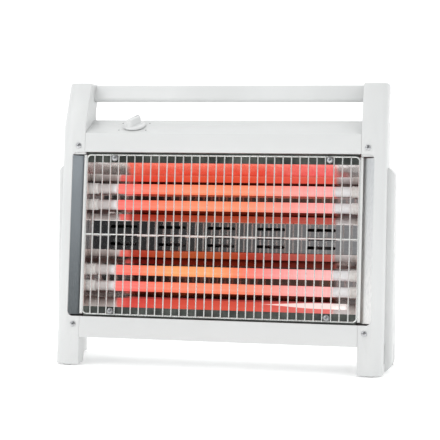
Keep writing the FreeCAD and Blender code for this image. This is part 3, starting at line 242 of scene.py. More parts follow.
class Paint(Tree):
    """A material under construction, with one Principled shader."""

    def __init__(self, name, metallic=0.0, coat=0.0, ior=1.5, strength=0.0, specular=0.5):
        self.material = bpy.data.materials.new(name)
        self.material.use_nodes = True
        super().__init__(self.material.node_tree)
        self.inputs = self.tree.nodes["Principled BSDF"].inputs
        constants = {"Metallic": metallic, "Coat Weight": coat, "Coat Roughness": 0.12, "IOR": ior,
                     "Emission Strength": strength, "Specular IOR Level": specular}
        for socket, value in constants.items():
            self.inputs[socket].default_value = value
        self.place = self.node("ShaderNodeTexCoord", output="Object")

    def axis(self, index):
        return self.node("ShaderNodeSeparateXYZ", {}, [self.place], index)

    def on_face(self):
        """Depth behind the leaning front face, and height along it."""
        back, up = self.axis(1) - front_edge(), self.axis(2)
        sine, cosine = math.sin(LEAN), math.cos(LEAN)
        return back * cosine - up * sine, back * sine + up * cosine

    def stretched(self, x, y, z):
        """The place with each axis scaled, so that a pattern runs along the small ones."""
        return self.node("ShaderNodeMapping", {"vector_type": "POINT"},
                         {"Vector": self.place, "Scale": (x, y, z)})

    def noise(self, scale, detail=2.0, rough=0.5, place=None):
        return self.node("ShaderNodeTexNoise", {}, {"Vector": place or self.place, "Scale": scale,
                                                    "Detail": detail, "Roughness": rough})

    def cells(self, scale, output=0):
        return self.node("ShaderNodeTexVoronoi", {}, {"Vector": self.place, "Scale": scale}, output)

    def bump(self, height, distance, strength=1.0, below=None):
        return self.node("ShaderNodeBump", {}, {"Strength": strength, "Distance": distance,
                                                "Height": height, "Normal": below})

    def feed(self, **sockets):
        """Feeds the shader's sockets; a socket is named with underscores for blanks."""
        for name, value in sockets.items():
            target = self.inputs[name.replace("_", " ").title()]
            if isinstance(value, Link):
                self.tree.links.new(value.socket, target)
            else:
                target.default_value = (*value, 1.0) if isinstance(value, tuple) else value
        return self.material


def moulded(name, colour, grain, gloss, coat=0.0):
    """Moulded plastic: fine spark texture, faint flow marks and handling haze."""
    paint = Paint(name, coat=coat, ior=1.46)
    spark = paint.noise(grain, 3.0, 0.6)
    flow = paint.noise(9.0, 3.0, 0.55, paint.stretched(1.0, 1.0, 0.35))
    haze = paint.noise(46.0, 4.0, 0.6)
    tone = paint.mix(flow.eased(0.32, 0.68), toned(colour, 0.955), toned(colour, 1.02))
    fleck = paint.mix(spark.eased(0.62, 0.78) * 0.22, tone, toned(colour, 0.8))
    relief = paint.bump(spark, 0.00012, 0.35)
    wavy = paint.bump(flow, 0.0012, 0.10, relief)
    return paint.feed(base_color=fleck, roughness=gloss + haze * 0.14 + spark * 0.05, normal=wavy)


def powder_coat(name, colour, gloss):
    """Powder-coated sheet: orange peel, specks and a little dust."""
    paint = Paint(name, ior=1.5)
    peel = paint.noise(620.0, 2.0, 0.45)
    fine = paint.noise(2600.0, 2.0, 0.5)
    cloud = paint.noise(7.0, 3.0, 0.6)
    speck = paint.cells(420.0)
    tone = paint.mix(cloud.eased(0.3, 0.7), toned(colour, 0.965), colour)
    dusted = paint.mix((1.0 - speck.eased(0.03, 0.10)) * 0.18, tone, toned(colour, 0.72))
    relief = paint.bump(peel, 0.00022, 0.30)
    return paint.feed(base_color=dusted, roughness=gloss + peel * 0.10 + cloud * 0.06,
                      normal=paint.bump(fine, 0.00006, 0.25, relief))


def enamel(name):
    """Dark vitreous enamel, slightly green, with pinholes and dust on it."""
    paint = Paint(name, coat=0.35, ior=1.52)
    cloud = paint.noise(38.0, 4.0, 0.6)
    pores = paint.cells(900.0)
    tone = paint.mix(cloud.eased(0.35, 0.7), (0.030, 0.036, 0.032), (0.085, 0.096, 0.084))
    dust = paint.mix((1.0 - pores.eased(0.05, 0.16)) * 0.35, tone, (0.20, 0.21, 0.19))
    return paint.feed(base_color=dust, roughness=0.24 + cloud * 0.22,
                      normal=paint.bump(paint.noise(520.0, 2.0), 0.00018, 0.35))


def polished_sheet(name, tint, heat, wave, glow=0.0):
    """Bright-rolled aluminium: fine rolling lines, slow buckles, haze, and heat colour; with glow, the tubes'
    light on the troughs is painted in as emission and a reddish base colour.
    """
    paint = Paint(name, metallic=1.0, strength=glow)
    rolled = paint.noise(70.0, 4.0, 0.65, paint.stretched(0.12, 9.0, 9.0))
    hair = paint.noise(260.0, 2.0, 0.5, paint.stretched(0.05, 7.0, 7.0))
    buckle = paint.noise(17.0, 2.0, 0.45, paint.stretched(1.0, 1.0, 1.6))
    haze = paint.noise(24.0, 5.0, 0.65)
    tone = paint.mix(rolled.eased(0.35, 0.65) * 0.5, tint, toned(tint, 0.86))
    ends = paint.axis(0).size().eased(0.10, 0.21)
    heat_tint_and_painted_glow = paint.mix((1.0 - ends) * haze.eased(0.30, 0.72) * heat, tone, (0.66, 0.47, 0.30))
    # painted glow: emission and a reddish base colour stand in for the tubes' light on the walls
    if glow:
        spread, light = painted_wall_glow(paint)
        paint.feed(emission_color=light)
        heat_tint_and_painted_glow = paint.mix(spread, heat_tint_and_painted_glow, (0.34, 0.19, 0.15))
    relief = paint.bump(buckle, 0.004, wave)
    lines = paint.bump(hair, 0.00002, 0.10 + heat * 0.2, relief)
    dullness = haze.eased(0.4, 0.8) * (0.05 + heat * 0.14) + rolled * 0.04
    return paint.feed(base_color=heat_tint_and_painted_glow, roughness=0.035 + heat * 0.06 + dullness, normal=lines)


def trim_finish(name):
    """Satin aluminium trim: brushed upright, with painted reflections: dark on the left and darker towards
    the bottom there, pale on the right and paler towards the bottom, and a pale turned edge that is a painted
    reflection of the bright casing.
    """
    paint = Paint(name)
    depth, _ = paint.on_face()
    # painted reflection: the turned inner edge is pale and hardly metallic, standing in for the bright casing
    # it reflects
    turned = depth.eased(0.0138, 0.0142)
    brushed = paint.noise(200.0, 4.0, 0.6, paint.stretched(9.0, 9.0, 0.06))
    haze = paint.noise(15.0, 3.0, 0.5)
    # painted reflections: the left trim is dark and darker towards the bottom, the right trim pale and paler
    # towards the bottom
    low = 1.0 - paint.axis(2).eased(0.06, 0.34)
    left = (0.0 - paint.axis(0)).above(0.0)
    shade = paint.mix(low, (0.50, 0.55, 0.59), (0.16, 0.18, 0.19))
    light = paint.mix(low, (0.72, 0.74, 0.74), (0.95, 0.94, 0.92))
    face = paint.mix(left, light, shade)
    grain = paint.mix(brushed.eased(0.35, 0.7) * 0.35, face, (0.40, 0.42, 0.43))
    tone = paint.mix(turned, grain, (0.86, 0.87, 0.87))
    rough = 0.20 + haze * 0.16 + brushed * 0.08
    return paint.feed(base_color=tone, metallic=0.85 - turned * 0.7, roughness=rough,
                      normal=paint.bump(brushed, 0.00005, 0.25))


def end_finish(name):
    """Bright sheet of the end plates: mirror inside, and on the edge turned towards the trim a pale satin
    strip that is a painted reflection of the bright casing.
    """
    paint = Paint(name)
    depth, _ = paint.on_face()
    # painted reflection: the front edge is pale and hardly metallic
    edge = 1.0 - depth.eased(0.0101, 0.0103)
    haze = paint.noise(30.0, 4.0, 0.6)
    rolled = paint.noise(260.0, 3.0, 0.6, paint.stretched(6.0, 6.0, 0.2))
    warm = paint.mix(haze.eased(0.35, 0.7), (0.90, 0.86, 0.85), (0.80, 0.66, 0.62))
    tone = paint.mix(edge, warm, paint.mix(rolled, (0.80, 0.81, 0.80), (0.92, 0.92, 0.91)))
    return paint.feed(base_color=tone, metallic=1.0 - edge * 0.75, roughness=0.10 + haze * 0.12 + edge * 0.2,
                      normal=paint.bump(rolled, 0.00004, 0.25))


# Heights along the front face, in metres: the folds of the troughs, where the painted glow changes, and the
# painted highlight streak in the lower one.
UPPER_KNEE_TOP, UPPER_KNEE_LOW, UPPER_LIP_LOW = 0.2799, 0.2297, 0.2190
LOWER_KNEE_TOP, LOWER_KNEE_LOW, MIDDLE_HEIGHT = 0.1651, 0.1048, 0.1974
GLEAM_HEIGHT, GLEAM_SPREAD = 0.0995, 0.0042


def painted_wall_glow(paint):
    """Painted glow of the tubes' light along their troughs: how far it reaches, and its colour on each wall,
    with a painted highlight streak on the lower trough.
    """
    depth, height = paint.on_face()
    along = paint.axis(0)
    patchy = paint.noise(30.0, 3.0, 0.6, paint.stretched(0.5, 1.0, 3.0))
    spread = 1.0 - ((along - 0.013).size() + patchy * 0.012).eased(0.156, 0.168)
    pinker = (along - 0.03).eased(0.0, 0.14)
    # painted glow colours: bright red-orange on the upper trough's top, dim red in the knees as painted
    # shade, pinker towards the right
    outer = paint.mix(pinker, (0.72, 0.062, 0.032), (0.76, 0.085, 0.095))
    bright = paint.mix(depth.eased(0.024, 0.029), outer, (0.42, 0.035, 0.02))
    deep = paint.mix(pinker, (0.06, 0.006, 0.004), (0.10, 0.012, 0.012))
    middling = paint.mix(pinker, (0.33, 0.040, 0.036), (0.40, 0.09, 0.095))
    dark = (0.0, 0.0, 0.0)
    top = paint.mix(height.above(UPPER_KNEE_TOP), dark, bright)
    under = paint.mix(height.above(UPPER_KNEE_LOW), deep, top)
    over = paint.mix(height.above(UPPER_LIP_LOW), dark, under)
    lower_top = paint.mix(height.above(LOWER_KNEE_TOP), dark, deep)
    lower = paint.mix(height.above(LOWER_KNEE_LOW), middling, lower_top)
    # painted highlight: a pale streak fanning out along the lower trough's wall
    fan = along.eased(0.055, 0.15) * GLEAM_SPREAD
    streak = 1.0 - ((height - GLEAM_HEIGHT).size() - fan).eased(-0.0006, 0.0004)
    painted_gleam = streak * along.eased(0.055, 0.075) * (1.0 - along.eased(0.186, 0.194)) * 0.8
    walls = paint.mix(height.above(MIDDLE_HEIGHT), lower, over)
    lit = paint.mix(spread * (0.82 + patchy * 0.3), dark, walls)
    return spread, paint.mix(painted_gleam, lit, (0.95, 0.86, 0.84))


def zinc(name, low, high):
    """Galvanised sheet with spangles."""
    paint = Paint(name, metallic=1.0)
    grey = paint.node("ShaderNodeRGBToBW", {}, [paint.cells(130.0, "Color")])
    tone = paint.mix(grey, low, high)
    return paint.feed(base_color=tone, roughness=0.32 + grey * 0.2,
                      normal=paint.bump(paint.noise(90.0, 4.0), 0.0004, 0.2))


def drawn_wire(name, tint, rough):
    """Plated wire: draw lines round it and slight tarnish."""
    paint = Paint(name, metallic=0.66)
    tarnish = paint.noise(55.0, 4.0, 0.6)
    pits = paint.noise(1800.0, 2.0, 0.6)
    tone = paint.mix(tarnish.eased(0.45, 0.80), tint, toned(tint, 0.74))
    return paint.feed(base_color=tone, roughness=rough + tarnish * 0.10 + pits * 0.05,
                      normal=paint.bump(pits, 0.00003, 0.3))


def plated_steel(name, tint, rough):
    """Turned or pressed steel with fine scratches."""
    paint = Paint(name, metallic=1.0)
    scratch = paint.noise(900.0, 3.0, 0.6, paint.stretched(1.0, 0.16, 1.0))
    stain = paint.noise(160.0, 3.0, 0.6)
    tone = paint.mix(stain.eased(0.4, 0.75), tint, toned(tint, 0.62))
    return paint.feed(base_color=tone, roughness=rough + scratch * 0.16,
                      normal=paint.bump(scratch, 0.00005, 0.35))


def glowing_quartz(name, warm, hot_at, hot_width, pink):
    """Milky quartz over a glowing winding: bright in the middle, frosted and unlit at the ends, the frost
    darker and browner towards the left end.
    """
    paint = Paint(name, coat=0.4, ior=1.46, strength=looks().glow)
    along = paint.axis(0)
    drift = paint.noise(16.0, 3.0, 0.6, paint.stretched(1.0, 0.2, 0.2))
    turns = paint.noise(420.0, 2.0, 0.5, paint.stretched(1.0, 0.05, 0.05))
    reach = looks().lit_half - 0.002
    lit = 1.0 - ((along - 0.002).size() + drift * 0.006).eased(reach, reach + 0.006)
    heat = (1.0 - ((along - hot_at) / hot_width).size()).eased(0.0, 0.85)
    body = paint.ramp(heat * 0.8 + drift * 0.2, [
        (0.0, (0.80, 0.125, 0.145)), (0.45, (0.86, 0.17, 0.095)), (1.0, warm)])
    pinker = paint.mix((along - 0.015).eased(0.0, 0.14) * pink, body, (0.92, 0.47, 0.48))
    rippled = paint.mix(turns.eased(0.3, 0.7) * 0.15, pinker, (0.62, 0.09, 0.05))
    glow = paint.mix(lit, (0.0, 0.0, 0.0), rippled)
    frost = paint.mix(drift.eased(0.35, 0.65), (0.66, 0.66, 0.67), (0.82, 0.82, 0.83))
    # the frost is darker and browner towards the left end
    left_end = (0.0 - along).eased(0.164, 0.172)
    left_end_darker_frost = paint.mix(left_end * 0.55, frost, (0.34, 0.27, 0.24))
    skin = paint.mix(lit, left_end_darker_frost, (0.30, 0.07, 0.05))
    return paint.feed(base_color=skin, emission_color=glow, roughness=0.22 + drift * 0.2,
                      normal=paint.bump(turns, 0.00006, 0.3))


def glowing_winding(name):
    """Heating wire at orange heat."""
    paint = Paint(name, metallic=1.0, strength=looks().glow * 2.5)
    turn = paint.noise(90.0, 3.0)
    hot = paint.mix(turn.eased(0.3, 0.7), (1.0, 0.22, 0.05), (1.0, 0.42, 0.12))
    return paint.feed(base_color=(0.30, 0.18, 0.14), emission_color=hot, roughness=0.5 + turn * 0.2)


def fired_ceramic(name):
    """Unglazed steatite: chalky white with fine grain and smoke marks."""
    paint = Paint(name, ior=1.5)
    grain = paint.noise(1500.0, 3.0, 0.7)
    smoke = paint.noise(70.0, 4.0, 0.6)
    tone = paint.mix(smoke.eased(0.5, 0.8), (0.80, 0.79, 0.77), (0.58, 0.54, 0.49))
    return paint.feed(base_color=paint.mix(grain.eased(0.55, 0.75) * 0.25, tone, (0.5, 0.48, 0.45)),
                      roughness=0.66 + grain * 0.15, normal=paint.bump(grain, 0.00012, 0.5))


def braided_sleeve(name):
    """Glass-fibre braid over the leads."""
    paint = Paint(name)
    one = ((paint.axis(0) + paint.axis(2)) * 3600.0).wave()
    two = ((paint.axis(1) * 1.4 - paint.axis(2)) * 3600.0).wave()
    weave = (one * two * 0.5 + 0.5).clipped()
    tone = paint.mix(weave, (0.50, 0.47, 0.40), (0.80, 0.78, 0.70))
    return paint.feed(base_color=tone, roughness=0.75 + weave * 0.15, normal=paint.bump(weave, 0.0003, 0.6))


def rubber(name):
    """Matt rubber with paler scuffs."""
    paint = Paint(name, specular=0.35)
    grain = paint.noise(900.0, 3.0, 0.7)
    scuff = paint.noise(120.0, 4.0, 0.6)
    tone = paint.mix(scuff.eased(0.5, 0.8), tuple(looks().foot_colour), (0.42, 0.41, 0.40))
    return paint.feed(base_color=tone, roughness=0.62 + grain * 0.2, normal=paint.bump(grain, 0.0002, 0.4))


def printed_mark(name):
    """Grey print, a little uneven."""
    paint = Paint(name)
    patch = paint.noise(1400.0, 3.0, 0.6)
    tone = paint.mix(patch.eased(0.45, 0.75), tuple(looks().mark_colour), (0.22, 0.22, 0.23))
    return paint.feed(base_color=tone, roughness=0.45 + patch * 0.1)


def make_finishes():
    """All finishes by name."""
    white = tuple(looks().casing_colour)
    return {
        "white_moulding": moulded("white_moulding", white, 1500.0, 0.30, 0.12),
        "white_sheet": powder_coat("white_sheet", white, 0.32),
        "dark_sheet": enamel("dark_sheet"),
        "trough_sheet": polished_sheet("trough_sheet", (0.80, 0.76, 0.75), 0.45, 0.18, 1.0),
        "mirror_sheet": polished_sheet("mirror_sheet", (0.88, 0.88, 0.88), 0.15, 0.10),
        "trim_sheet": trim_finish("trim_sheet"),
        "end_sheet": end_finish("end_sheet"),
        "plain_sheet": zinc("plain_sheet", (0.40, 0.41, 0.43), (0.62, 0.63, 0.65)),
        "sooted_sheet": zinc("sooted_sheet", (0.012, 0.012, 0.012), (0.030, 0.030, 0.028)),
        "chrome_wire": drawn_wire("chrome_wire", (0.86, 0.88, 0.86), 0.18),
        "quartz_high": glowing_quartz("quartz_high", (0.88, 0.28, 0.13), 0.0, 0.17, 0.7),
        "quartz_hot": glowing_quartz("quartz_hot", (0.92, 0.42, 0.13), -0.045, 0.13, 0.95),
        "quartz_low": glowing_quartz("quartz_low", (0.88, 0.25, 0.13), 0.0, 0.15, 0.95),
        "glowing_wire": glowing_winding("glowing_wire"),
        "ceramic": fired_ceramic("ceramic"),
        "sleeving": braided_sleeve("sleeving"),
        "steel_screw": plated_steel("steel_screw", (0.56, 0.57, 0.58), 0.22),
        "white_knob": moulded("white_knob", tuple(looks().knob_colour), 2200.0, 0.22, 0.3),
        "switch_plastic": moulded("switch_plastic", (0.028, 0.028, 0.030), 1500.0, 0.42),
        "brass_part": plated_steel("brass_part", (0.72, 0.52, 0.22), 0.25),
        "steel_part": plated_steel("steel_part", (0.58, 0.59, 0.60), 0.25),
        "block_plastic": moulded("block_plastic", (0.74, 0.73, 0.68), 1300.0, 0.45),
        "pale_rubber": rubber("pale_rubber"),
        "gland_plastic": moulded("gland_plastic", (0.030, 0.030, 0.030), 1200.0, 0.40),
        "mark": printed_mark("mark"),
    }


FINISHES = {}


def finish_of(name):
    """A finish by name; the whole set is made on first use."""
    if not FINISHES:
        FINISHES.update(make_finishes())
    return FINISHES[name]


# ---------------------------------------------------------------- mesh helpers

def new_piece(name, mesh, finish=None):
    """An object of a mesh, at the origin."""
    piece = bpy.data.objects.new(name, mesh)
    bpy.context.scene.collection.objects.link(piece)
    if finish:
        mesh.materials.clear()
        mesh.materials.append(finish_of(finish))
    return piece


def mesh_from(build):
    """A mesh filled by a function that is given an empty bmesh."""
    cage = bmesh.new()
    build(cage)
    bmesh.ops.recalc_face_normals(cage, faces=cage.faces)
    mesh = bpy.data.meshes.new("made")
    cage.to_mesh(mesh)
    cage.free()
    return mesh


def soften(mesh, angle):
    """Smooth shading with sharp edges kept above an angle."""
    mesh.polygons.foreach_set("use_smooth", [True] * len(mesh.polygons))
    mesh.set_sharp_from_angle(angle=math.radians(angle))
    return mesh


def bake(piece):
    """Makes a piece's modifiers part of its mesh."""
    graph = bpy.context.evaluated_depsgraph_get()
    mesh = bpy.data.meshes.new_from_object(piece.evaluated_get(graph))
    piece.modifiers.clear()
    piece.data = mesh


def settle(piece, slot, *nodes, body=BODY):
    """Last words on a piece: its body and the solids it stands for, which are hidden; the slot is not used.
    """
    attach(piece, body)
    if nodes:
        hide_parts(*nodes)


def merged_copy(node):
    """A copy of a solid's mesh with its loose triangles joined and flat faces made whole."""
    cage = bmesh.new()
    cage.from_mesh(SOLIDS[node].data)
    bmesh.ops.remove_doubles(cage, verts=cage.verts, dist=MERGE)
    bmesh.ops.dissolve_limit(cage, angle_limit=math.radians(0.6), verts=cage.verts, edges=cage.edges)
    mesh = bpy.data.meshes.new(node + "_copy")
    cage.to_mesh(mesh)
    cage.free()
    return mesh


def islands(node):
    """The separate solids of a node, each as a list of its points."""
    cage = bmesh.new()
    cage.from_mesh(SOLIDS[node].data)
    bmesh.ops.remove_doubles(cage, verts=cage.verts, dist=MERGE)
    waiting = set(cage.verts)
    found = []
    while waiting:
        stack = [waiting.pop()]
        group = []
        while stack:
            vert = stack.pop()
            group.append(vert.co.copy())
            for edge in vert.link_edges:
                other = edge.other_vert(vert)
                if other in waiting:
                    waiting.discard(other)
                    stack.append(other)
        found.append(group)
    cage.free()
    return found


def lathe(cage, profile, steps, at=Vector((0, 0, 0)), turn=Matrix.Identity(3)):
    """Turns a profile of (radius, height) pairs round local Z and adds it to the cage."""
    rings = []
    for radius, height in profile:
        ring = []
        for step in range(steps):
            angle = 2 * math.pi * step / steps
            point = Vector((radius * math.cos(angle), radius * math.sin(angle), height))
            ring.append(cage.verts.new(turn @ point + at))
            if radius == 0:
                break
        rings.append(ring)
    for one, two in zip(rings, rings[1:]):
        for step in range(steps):
            following = (step + 1) % steps
            corners = [one[step % len(one)], one[following % len(one)],
                       two[following % len(two)], two[step % len(two)]]
            distinct = list(dict.fromkeys(corners))
            if len(distinct) > 2:
                cage.faces.new(distinct)


def skin(cage, rows, closed=False):
    """A band between each row of points and the next, and a face over both ends unless it is closed."""
    pairs = list(zip(rows, rows[1:])) + ([(rows[-1], rows[0])] if closed else [])
    for one, two in pairs:
        for index in range(len(one)):
            following = (index + 1) % len(one)
            cage.faces.new((one[index], one[following], two[following], two[index]))
    if not closed:
        cage.faces.new(rows[-1])
        cage.faces.new(rows[0][::-1])


def box_of(points):
    """Lowest and highest corner of some points."""
    return [Vector([pick(point[axis] for point in points) for axis in range(3)]) for pick in (min, max)]


# ---------------------------------------------------------------- repeated items

class Repeater(Tree):
    """A Geometry Nodes tree under construction."""

    def __init__(self, name, inputs):
        super().__init__(bpy.data.node_groups.new(name, "GeometryNodeTree"))
        face = self.tree.interface
        face.new_socket("Geometry", in_out="INPUT", socket_type="NodeSocketGeometry")
        face.new_socket("Geometry", in_out="OUTPUT", socket_type="NodeSocketGeometry")
        self.ids = {}
        for label, kind in inputs:
            socket = face.new_socket(label, in_out="INPUT", socket_type="NodeSocket" + kind)
            self.ids[label] = socket.identifier
        self.entry = self.tree.nodes.new("NodeGroupInput")
        self.exit = self.tree.nodes.new("NodeGroupOutput")

    def given(self, label):
        return Link(self, self.entry.outputs[label])

    def close(self, geometry):
        """Ends the tree in Realize Instances and Set Material."""
        real = self.node("GeometryNodeRealizeInstances", {}, {"Geometry": geometry})
        finish = self.given("Finish")
        painted = self.node("GeometryNodeSetMaterial", {}, {"Geometry": real, "Material": finish})
        self.tree.links.new(painted.socket, self.exit.inputs[0])

    def run(self, piece, **values):
        """Runs the tree on a piece and keeps only the mesh that it makes."""
        modifier = piece.modifiers.new("repeat", "NODES")
        modifier.node_group = self.tree
        for label, value in values.items():
            modifier[self.ids[label]] = value
        bake(piece)


def place_tree():
    """Sets a pattern piece on every point, turned to that point's own turning."""
    tree = Repeater("place_on_points", [("Pattern", "Object"), ("Finish", "Material")])
    pattern = tree.node("GeometryNodeObjectInfo", {"transform_space": "ORIGINAL"},
                        {"Object": tree.given("Pattern"), "As Instance": True}, "Geometry")
    turning = tree.node("GeometryNodeInputNamedAttribute", {"data_type": "FLOAT_VECTOR"}, {"Name": "turning"})
    placed = tree.node("GeometryNodeInstanceOnPoints", {},
                       {"Points": tree.given("Geometry"), "Instance": pattern, "Rotation": turning})
    tree.close(placed)
    return tree


TREES = {}


def tree_of(build):
    """A tree by the function that builds it; each is built once."""
    if build.__name__ not in TREES:
        TREES[build.__name__] = build()
    return TREES[build.__name__]


def repeat_on(name, places, pattern, finish):
    """A piece with a copy of the pattern at each (point, rotation matrix)."""
    mesh = bpy.data.meshes.new(name)
    mesh.from_pydata([tuple(point) for point, _ in places], [], [])
    turning = mesh.attributes.new("turning", "FLOAT_VECTOR", "POINT")
    for item, (_, turn) in zip(turning.data, places):
        item.vector = tuple(turn.to_euler("XYZ"))
    piece = new_piece(name, mesh)
    sample = new_piece(name + "_sample", pattern)
    tree_of(place_tree).run(piece, Pattern=sample, Finish=finish_of(finish))
    bpy.data.objects.remove(sample)
    return piece


# ---------------------------------------------------------------- screws

def cut_away(mesh, tools):
    """The mesh less each closed tool mesh."""
    piece = new_piece("blank", mesh)
    for tool in tools:
        cutter = new_piece("cutter", tool)
        modifier = piece.modifiers.new("cut", "BOOLEAN")
        modifier.operation = "DIFFERENCE"
        modifier.solver = "EXACT"
        modifier.object = cutter
        bake(piece)
        bpy.data.objects.remove(cutter)
    result = piece.data
    bpy.data.objects.remove(piece)
    return result


def tapered_bar(length, width, top, bottom, share):
    """A closed bar that narrows from top to bottom, centred on Z."""
    def build(cage):
        rows = []
        for height, scale in ((bottom, share), (top, 1.0)):
            half_x, half_y = length / 2 * scale, width / 2 * scale
            rows.append([cage.verts.new((x, y, height)) for x, y in (
                (-half_x, -half_y), (half_x, -half_y), (half_x, half_y), (-half_x, half_y))])
        skin(cage, rows)
    return mesh_from(build)


def pan_head(washer):
    """A cross-recessed pan head whose seat is at Z 0, with a stub of its shank below."""
    radius, height = looks().head_diameter / 2, looks().head_height
    shank, stub, point, rim, crown, rows = 2.0 * MM, 4.0 * MM, 0.4 * MM, 1.0 * MM, 1.15 * MM, 8
    profile = [(0, -stub), (shank - point, -stub), (shank, point - stub), (shank, 0)]
    base = 1.0 * MM if washer else 0.0
    if washer:
        edge, eased = looks().washer_diameter / 2, 0.15 * MM
        profile += [(edge - eased, 0), (edge, eased), (edge, base - eased), (edge - eased, base),
                    (radius - 0.2 * MM, base)]
    profile += [(radius - 0.12 * MM, base), (radius, base + 0.25 * MM)]
    for step in range(rows + 1):
        angle = math.pi / 2 * step / rows
        reach = (radius - crown + crown * (1 - step / rows)) * math.cos(angle)
        profile.append((reach, base + rim + (height - rim) * math.sin(angle)))
    profile[-1] = (0, base + height)
    mesh = mesh_from(lambda cage: lathe(cage, profile, 40))
    first = tapered_bar(4.4 * MM, 1.0 * MM, top=base + height + 0.5 * MM, bottom=base + 0.9 * MM, share=0.55)
    second = first.copy()
    second.transform(Matrix.Rotation(math.pi / 2, 4, "Z"))
    return soften(cut_away(mesh, [first, second]), 28.0)


def screw_places(node, outward, seat, seed):
    """Where the heads of a node's screws sit, with each head turned its own way."""
    outward = outward.normalized()
    spin = random.Random(seed)
    places = []
    for points in islands(node):
        tip = max(point.dot(outward) for point in points)
        flat = [point - outward * point.dot(outward) for point in points]
        low, high = box_of(flat)
        centre = (low + high) / 2
        centre -= outward * centre.dot(outward)
        turn = outward.to_track_quat("Z", "Y").to_matrix() @ Matrix.Rotation(spin.uniform(0, math.pi), 3, "Z")
        places.append((centre + outward * (tip - seat), turn))
    return places


def make_screws():
    """Heads for every group of screws; those at the ends of the handle and covers face both ways."""
    front, back = Vector((0, -math.cos(LEAN), math.sin(LEAN))), Vector((0, 1, 0))
    plain, washed = pan_head(False), pan_head(True)
    seat = 2.6 * MM
    groups = [("front_screws", front, plain, 3), ("grille_screws", front, washed, 7),
              ("rear_cover_screws", back, plain, 11)]
    for node, outward, pattern, seed in groups:
        places = screw_places(node, outward, seat, seed)
        settle(repeat_on(node + "_heads", places, pattern.copy(), "steel_screw"), "steel_screw", node)
    for node, seed in (("side_cover_screws", 19), ("handle_screws", 23)):
        both = []
        for side in (-1, 1):
            places = screw_places(node, Vector((side, 0, 0)), seat, seed + side)
            both += [place for place in places if place[0].x * side > 0]
        settle(repeat_on(node + "_heads", both, plain.copy(), "steel_screw"), "steel_screw", node)


# ---------------------------------------------------------------- grille

def wire_tree():
    """A row of straight upright wires, each a hair out of its place."""
    tree = Repeater("straight_wires", [("Count", "Int"), ("Pitch", "Float"), ("Length", "Float"),
                                       ("Radius", "Float"), ("Finish", "Material")])
    count, reach = tree.given("Count"), tree.given("Length") * 0.5
    row = tree.node("GeometryNodeMeshLine", {"mode": "OFFSET"}, {"Count": count}, "Mesh")
    index = tree.node("GeometryNodeInputIndex")
    jitter = tree.node("FunctionNodeRandomValue", {"data_type": "FLOAT"},
                       {"Min": -0.00012, "Max": 0.00012, "ID": index, "Seed": 5}, 1)
    across = (index - (count * 0.5 - 0.5)) * tree.given("Pitch") + jitter
    spot = tree.node("ShaderNodeCombineXYZ", {}, {0: across})
    line = tree.node("GeometryNodeSetPosition", {}, {"Geometry": row, "Position": spot})
    start = tree.node("ShaderNodeCombineXYZ", {}, {2: reach * -1.0})
    end = tree.node("ShaderNodeCombineXYZ", {}, {2: reach})
    path = tree.node("GeometryNodeCurvePrimitiveLine", {"mode": "POINTS"}, {"Start": start, "End": end})
    ring = tree.node("GeometryNodeCurvePrimitiveCircle", {"mode": "RADIUS"},
                     {"Resolution": 14, "Radius": tree.given("Radius")})
    wire = tree.node("GeometryNodeCurveToMesh", {}, {"Curve": path, "Profile Curve": ring, "Fill Caps": True})
    smooth = tree.node("GeometryNodeSetShadeSmooth", {"domain": "FACE"}, {"Geometry": wire})
    tree.close(tree.node("GeometryNodeInstanceOnPoints", {}, {"Points": line, "Instance": smooth}))
    return tree


def rounded_loop(half, low, high, radius, steps):
    """Corners of a rounded rectangle, as (x, height) pairs in order."""
    loop = []
    for cx, cy, start in ((half - radius, high - radius, 0), (radius - half, high - radius, 1),
                          (radius - half, low + radius, 2), (half - radius, low + radius, 3)):
        for step in range(steps + 1):
            angle = math.pi / 2 * (start + step / steps)
            loop.append((cx + radius * math.cos(angle), cy + radius * math.sin(angle)))
    return loop


def tube_round(cage, path, radius, sides, closed):
    """A round wire along a path of points."""
    rings = []
    count = len(path)
    for index, point in enumerate(path):
        before = path[index - 1] if closed or index else point
        after = path[(index + 1) % count] if closed or index < count - 1 else point
        forward = (after - before).normalized()
        side = forward.cross(Vector((0, 1, 0))).normalized()
        up = side.cross(forward)
        rings.append([cage.verts.new(point + radius * (side * math.cos(a) + up * math.sin(a)))
                      for a in (2 * math.pi * step / sides for step in range(sides))])
    skin(cage, rings, closed)


def weld_bead():
    """A small flattened bead of weld where two wires cross."""
    def build(cage):
        bmesh.ops.create_icosphere(cage, subdivisions=2, radius=1.0,
                                   matrix=Matrix.Diagonal((1.25 * MM, 0.9 * MM, 1.15 * MM, 1.0)))
    return soften(mesh_from(build), 80.0)


